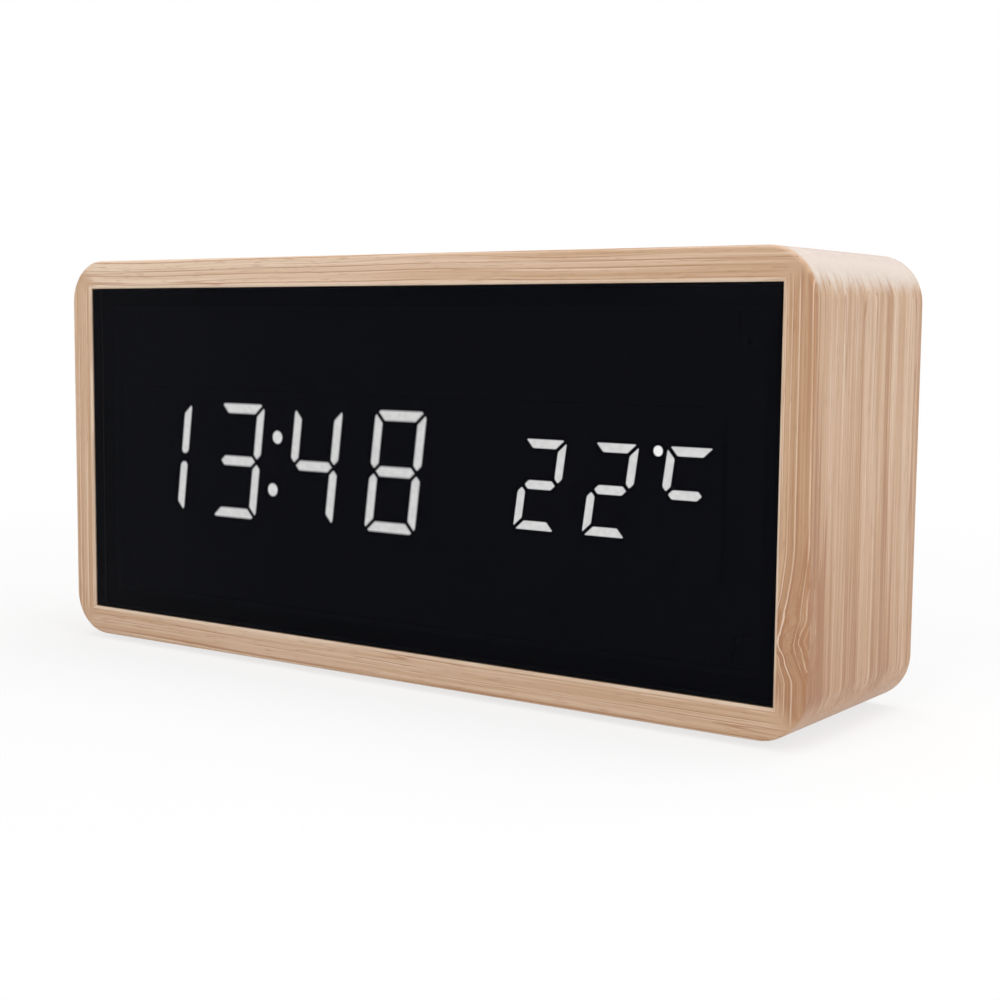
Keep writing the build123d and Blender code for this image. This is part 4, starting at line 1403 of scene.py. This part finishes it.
@dataclass
class Electronics:
    """The boards, their parts and the cables, all behind the reflector plate.

    The display board is black, since a strip of it lies in the window's view.

    Attributes:
        frame: The loaded frame.
    """

    frame: dict

    def build(self) -> None:
        """Dresses each node with the finish of its own kind."""
        for finish, nodes in self.finishes():
            Bench.dress_nodes(self.frame, finish, *nodes.split())

    @staticmethod
    def finishes() -> tuple[tuple[MouldedFinish | MetalFinish | CircuitFinish, str], ...]:
        """Lists the finishes.

        Returns:
            Each finish with the names of its nodes.
        """
        plastic, metal, board, screen = MouldedFinish, MetalFinish, CircuitFinish, screen_colour
        return (
            (
                board("display_board_finish", screen(18, 19, 19), screen(25, 26, 26)),
                "display_board",
            ),
            (
                board("board_finish", screen(24, 92, 54), screen(38, 120, 72)),
                "key_board power_board",
            ),
            (
                plastic("chip_finish", screen(38, 38, 40), roughness=0.6, grain=0.15),
                "clock_controller led_driver chip_resistors temperature_sensor",
            ),
            (
                metal("bright_steel_finish", screen(206, 204, 198)),
                "crystal backup_cell usb_socket_shell battery_plates battery_springs",
            ),
            (
                metal("board_screw_finish", screen(182, 184, 188)),
                "display_board_screws key_board_screws",
            ),
            (plastic("sleeve_finish", screen(40, 52, 96), roughness=0.3), "filter_capacitor"),
            (
                plastic("black_part_finish", screen(40, 40, 42)),
                "buzzer switch_bodies cell_holder usb_socket_tongue",
            ),
            (
                plastic("header_finish", screen(226, 222, 208), roughness=0.45),
                "display_ribbon_socket battery_lead_socket key_ribbon_socket",
            ),
            (
                plastic("cable_finish", screen(150, 151, 154), grain=1.27, relief=0.05),
                "ribbon_cable power_lead",
            ),
            (plastic("led_finish", screen(236, 226, 170), roughness=0.3), "segment_leds"),
            (
                plastic("plunger_finish", screen(214, 206, 186), roughness=0.45),
                "set_plunger up_plunger down_plunger",
            ),
            (plastic("red_wire_finish", screen(186, 34, 30), roughness=0.4), "battery_wire_red"),
            (plastic("black_wire_finish", screen(30, 30, 32), roughness=0.4), "battery_wire_black"),
        )


@dataclass
class BackCover:
    """The rear cover with its screws, buttons and battery door.

    Attributes:
        frame: The loaded frame.
        screw_round: The rounding of a screw's edges, in metres.
        mark_radius: The radius of a button's raised mark, in metres.
        mark_height: How far a mark stands proud, in metres.
        mark_round: The rounding of a mark's edges, in metres.
        ring_width: The ring's width, as a share of its radius.
        ring_sink: How deep its middle lies, as a share of its height.
    """

    frame: dict
    screw_round: float = 0.12 * MM
    mark_radius: float = 1.25 * MM
    mark_height: float = 0.25 * MM
    mark_round: float = 0.06 * MM
    ring_width: float = 0.4
    ring_sink: float = 0.8

    def build(self) -> None:
        """Dresses the cover, the door and the buttons, and models the marks and the screws."""
        black, softer, grey = (
            screen_colour(*levels) for levels in ((33, 33, 35), (38, 38, 41), (112, 112, 116))
        )
        cover = MouldedFinish("cover_finish", black, roughness=0.55, grain=0.32, relief=0.03)
        Bench.dress_nodes(self.frame, cover, "rear_cover", "battery_door")
        button = MouldedFinish("button_finish", softer, roughness=0.42, grain=0.25, relief=0.01)
        Bench.dress_nodes(self.frame, button, "set_button", "up_button", "down_button")
        plastic = MouldedFinish("mark_finish", grey, grain=0.2, relief=0.01).build()
        for key, sides, up in (("set", 36, 1), ("up", 3, 1), ("down", 3, -1)):
            mark = self.start_mark(key, sides, up * math.pi / 2)
            if key == "set":
                self.hollow(mark)
            Bench.soften(mark, self.mark_round)
            Bench.dress(mark, plastic)
            Bench.hand_over(mark, f"{key}_key", "button_black")
        screws = Bench.copy_node(self.frame, "rear_screws", "cover_screws")
        Bench.soften(screws, self.screw_round)
        Bench.dress(screws, MetalFinish("cover_screw_finish", screen_colour(176, 178, 182)).build())
        Bench.hand_over(screws, "clock_body", "zinc_screw", "rear_screws")

    def start_mark(self, key: str, sides: int, turn: float) -> bpy.types.Object:
        """Starts a raised mark on a button.

        Args:
            key: The button's name, set, up or down.
            sides: How many sides the mark has.
            turn: How far it is turned to face backwards, in radians.

        Returns:
            The mark, still plain.
        """
        low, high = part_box(f"{key}_button")
        Bench.clear()
        bpy.ops.mesh.primitive_cylinder_add(
            vertices=sides,
            radius=self.mark_radius,
            depth=self.mark_height,
            location=((low.x + high.x) / 2, high.y + self.mark_height / 2, (low.z + high.z) / 2),
            rotation=(turn, 0, 0),
        )
        return Bench.start(f"{key}_mark")

    def hollow(self, mark: bpy.types.Object) -> None:
        """Sinks a round mark's middle, so that a ring is left.

        Args:
            mark: The mark.
        """
        Bench.pick(mark, lambda face: face.normal.y > FACING)
        bpy.ops.mesh.inset(thickness=self.mark_radius * self.ring_width)
        Bench.extrude(0, -self.mark_height * self.ring_sink, 0)
        Bench.close()


class CellSlot(Enum):
    """The order of a cell's materials."""

    JACKET = 0
    STEEL = 1
    SEAL = 2
    BAND = 3


@dataclass
class BatteryCells:
    """The three cells, each with its jacket, its plain steel ends and its nub.

    Attributes:
        frame: The loaded frame.
        sides: How many sides a cell's round has.
        facets: How many facets the rounding of its rim has.
        nub_radius: The nub's radius, in metres.
        nub_height: The nub's height, in metres.
        nub_ring: How far inside the nub's edge its top is marked, as a share of its radius.
        dish_ring: How far inside its edge the flat end is dished, as a share of the nub's radius.
        rim: How far the jacket folds over each end, in metres.
        fold: How high the folded rim stands, in metres.
        edge: The rounding of the rim, in metres.
        band: How wide the jacket's pale band is, in metres.
        end_depth: How deep an end's faces lie at most, as a share of the fold.
        loose: How much wider than the nub the seal's hole is taken to be.
        slack: How far past the rim the steel is looked for, in metres.
    """

    frame: dict
    sides: int = 40
    facets: int = 3
    nub_radius: float = 1.9 * MM
    nub_height: float = 1.0 * MM
    nub_ring: float = 0.2
    dish_ring: float = 0.3
    rim: float = 0.9 * MM
    fold: float = 0.15 * MM
    edge: float = 0.35 * MM
    band: float = 9.0 * MM
    end_depth: float = 1.5
    loose: float = 1.02
    slack: float = 0.01 * MM

    def build(self) -> None:
        """Models each cell on its node's place."""
        teal, pale = screen_colour(44, 122, 110), screen_colour(196, 197, 194)
        steel, dark = screen_colour(208, 206, 200), screen_colour(52, 52, 54)
        printed = {"roughness": 0.28, "grain": 0.5, "relief": 0.004}
        finishes = {
            CellSlot.JACKET: MouldedFinish("jacket_finish", teal, **printed),
            CellSlot.STEEL: MetalFinish("cell_end_finish", steel, roughness=0.26),
            CellSlot.SEAL: MouldedFinish("seal_finish", dark),
            CellSlot.BAND: MouldedFinish("band_finish", pale, **printed),
        }
        materials = [finishes[slot].build() for slot in CellSlot]
        for number, nub_side in ((1, 1), (2, -1), (3, 1)):
            self.build_cell(number, nub_side, materials)

    def build_cell(self, number: int, nub_side: int, materials: list[bpy.types.Material]) -> None:
        """Models one cell.

        Args:
            number: The cell's number.
            nub_side: 1 for a nub on the right, -1 for one on the left.
            materials: Its materials, in their order.
        """
        low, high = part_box(f"aaa_cell_{number}")
        radius = (high.z - low.z) / 2
        length = high.x - low.x - self.nub_height
        middle = (low + high) / 2 - Vector((nub_side * self.nub_height / 2, 0, 0))
        Bench.clear()
        bpy.ops.mesh.primitive_cylinder_add(
            vertices=self.sides,
            radius=radius,
            depth=length,
            location=middle,
            rotation=(0, nub_side * math.pi / 2, 0),
        )
        cell = Bench.start(f"dry_cell_{number}")
        Bench.soften(cell, self.edge, self.facets)
        for side in (nub_side, -nub_side):
            self.build_end(cell, side, side == nub_side, radius)
        Bench.dress(cell, *materials)
        self.colour_ends(cell, middle, radius, length, nub_side)
        self.add_band(cell, middle.x + nub_side * (length / 2 - self.band), nub_side)
        Bench.smooth(cell)
        Bench.hand_over(cell, "clock_body", "cell_jacket", f"aaa_cell_{number}")

    def build_end(self, cell: bpy.types.Object, side: int, nub: bool, radius: float) -> None:
        """Models one end: the jacket's folded rim, then the flat end or the nub.

        Args:
            cell: The cell.
            side: 1 for the right end, -1 for the left.
            nub: Whether the nub stands on this end.
            radius: The cell's radius, in metres.
        """
        Bench.pick(cell, lambda face: face.normal.x * side > FACING)
        bpy.ops.mesh.inset(thickness=self.rim - self.edge)
        Bench.extrude(-side * self.fold, 0, 0)
        if nub:
            bpy.ops.mesh.inset(thickness=radius - self.rim - self.nub_radius)
            Bench.extrude(side * (self.nub_height + self.fold), 0, 0)
            bpy.ops.mesh.inset(thickness=self.nub_radius * self.nub_ring)
        else:
            bpy.ops.mesh.inset(thickness=self.nub_radius * self.dish_ring, depth=self.fold / 2)
        Bench.close()

    def add_band(self, cell: bpy.types.Object, start: float, side: int) -> None:
        """Gives the jacket a pale band towards the nub.

        Args:
            cell: The cell.
            start: Where the band starts, in metres.
            side: 1 for a band on the right, -1 for one on the left.
        """
        jacket, band = CellSlot.JACKET.value, CellSlot.BAND.value
        Bench.pick(cell, lambda face: face.material_index == jacket)
        bpy.ops.mesh.bisect(plane_co=(start, 0, 0), plane_no=(1, 0, 0))
        Bench.close()
        for face in cell.data.polygons:
            if face.material_index == jacket and (face.center.x - start) * side > 0:
                face.material_index = band

    def colour_ends(
        self, cell: bpy.types.Object, middle: Vector, radius: float, length: float, nub_side: int
    ) -> None:
        """Gives the ends' faces the steel and the seal.

        Args:
            cell: The cell.
            middle: The middle of the can, in metres.
            radius: The can's radius, in metres.
            length: The can's length, in metres.
            nub_side: 1 for a nub on the right, -1 for one on the left.
        """
        inside = radius - self.rim + self.slack
        for face in cell.data.polygons:
            away = face.center - middle
            from_axis = math.hypot(away.y, away.z)
            at_end = abs(away.x) > length / 2 - self.fold * self.end_depth
            if at_end and from_axis < inside:
                on_seal = away.x * nub_side > 0 and from_axis > self.nub_radius * self.loose
                face.material_index = (CellSlot.SEAL if on_seal else CellSlot.STEEL).value


@dataclass(frozen=True)
class StudioCamera:
    """The camera at the photograph's place.

    Attributes:
        place: Where it stands, in millimetres.
        azimuth: How far it stands round to the right, in degrees.
        elevation: How far it looks down, in degrees.
        roll: How far it leans, in degrees.
        lens: Its focal length, in millimetres.
        sensor: Its sensor's width, in millimetres.
    """

    place: Vector = Vector((171.95, -226.81, 57.97))
    azimuth: float = 35.6033
    elevation: float = 5.784
    roll: float = 0.5181
    lens: float = 60.146
    sensor: float = 36.0

    def build(self) -> None:
        """Adds the camera and makes it the scene's."""
        data = bpy.data.cameras.new("studio_camera")
        data.lens = self.lens
        data.sensor_width = self.sensor
        camera = bpy.data.objects.new("studio_camera", data)
        turn = Euler((math.radians(90 - self.elevation), 0, math.radians(self.azimuth))).to_matrix()
        turn = turn @ Matrix.Rotation(math.radians(self.roll), 3, "Z")
        camera.matrix_world = Matrix.Translation(self.place * MM) @ turn.to_4x4()
        bpy.context.scene.collection.objects.link(camera)
        bpy.context.scene.camera = camera


@dataclass(frozen=True)
class SoftBox:
    """A square lamp that faces the clock.

    Attributes:
        name: The lamp's name.
        place: Where it stands, in metres.
        size: Its side, in metres.
        power: Its power, in watts.
        target: The place that it faces, in metres.
    """

    name: str
    place: Vector
    size: float
    power: float
    target: Vector = Vector((0, 0, 0.035))

    def build(self) -> None:
        """Adds the lamp."""
        data = bpy.data.lights.new(self.name, "AREA")
        data.size = self.size
        data.energy = self.power
        lamp = bpy.data.objects.new(self.name, data)
        turn = (self.place - self.target).to_track_quat("Z", "Y").to_matrix().to_4x4()
        lamp.matrix_world = Matrix.Translation(self.place) @ turn
        bpy.context.scene.collection.objects.link(lamp)


@dataclass
class Studio:
    """The white floor, the world and the lamps.

    Attributes:
        fill: How bright the world's own light is.
        floor_size: The floor's side, in metres.
        floor_colour: The floor's colour under the lamps.
        shade: How much of the floor's colour comes from the light that falls on it.
        shade_reach: How far from the clock that starts and stops fading, in millimetres.
    """

    fill: float = 0.3
    floor_size: float = 6.0
    floor_colour: Colour = (0.95, 0.95, 0.95, 1.0)
    shade: float = 0.25
    shade_reach: tuple[float, float] = (110.0, 320.0)

    def build(self) -> None:
        """Builds the whole studio."""
        bpy.context.scene.view_settings.view_transform = "Standard"
        StudioCamera().build()
        SoftBox("top_box", Vector((0.12, 0.1, 0.75)), size=0.7, power=4.0).build()
        SoftBox("front_box", Vector((0.0, -0.9, 0.6)), size=0.6, power=3.2).build()
        SoftBox("side_box", Vector((0.8, -0.15, 0.4)), size=0.5, power=1.35).build()
        self.build_world()
        self.build_floor()

    @staticmethod
    def seen(sheet: NodeSheet) -> Signal:
        """Says whether a ray comes straight from the camera, a mirror or a glass.

        Args:
            sheet: The node sheet to add to.

        Returns:
            The output, 1 for such a ray.
        """
        rays = sheet.add("LightPath", {}).outputs
        camera, glossy, through = (
            Signal(sheet, rays[f"Is {kind} Ray"]) for kind in ("Camera", "Glossy", "Transmission")
        )
        return sheet.sum(Sum.ADD, camera + glossy, through, clamp=True)

    def build_world(self) -> None:
        """Makes the world white to look at, and a soft fill otherwise."""
        world = bpy.data.worlds.new("studio_world")
        bpy.context.scene.world = world
        sheet = NodeSheet(world)
        strength = self.seen(sheet) * (1.0 - self.fill) + self.fill
        white = sheet.node("Background", {"Color": WHITE, "Strength": strength})
        sheet.add("OutputWorld", {"Surface": white})

    def build_floor(self) -> None:
        """Lays the floor, white to look at but for the clock's shadow."""
        Bench.clear()
        bpy.ops.mesh.primitive_plane_add(size=self.floor_size)
        floor = bpy.context.object
        floor.name = "studio_floor"
        material = bpy.data.materials.new("studio_white")
        sheet = NodeSheet(material)
        matt = sheet.node("BsdfDiffuse", {"Color": self.floor_colour})
        light = sheet.node("Emission", {"Color": WHITE, "Strength": 1.0})
        away = sheet.node("VectorMath", {0: sheet.millimetres()}, "Value", operation="LENGTH")
        shade = away.spread(*self.shade_reach, self.shade, 0.0)
        bright = sheet.node("MixShader", {0: shade, 1: light, 2: matt})
        both = sheet.node("MixShader", {0: self.seen(sheet), 1: matt, 2: bright})
        sheet.add("OutputMaterial", {"Surface": both})
        Bench.dress(floor, material)


def main() -> None:
    """Loads the frame, dresses it and sets up the studio."""
    logging.basicConfig(level=logging.INFO, format="%(name)s: %(message)s")
    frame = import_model()
    BambooCase(frame).build()
    Display(frame).build()
    Electronics(frame).build()
    BackCover(frame).build()
    BatteryCells(frame).build()
    Studio().build()


if __name__ == "__main__":
    main()
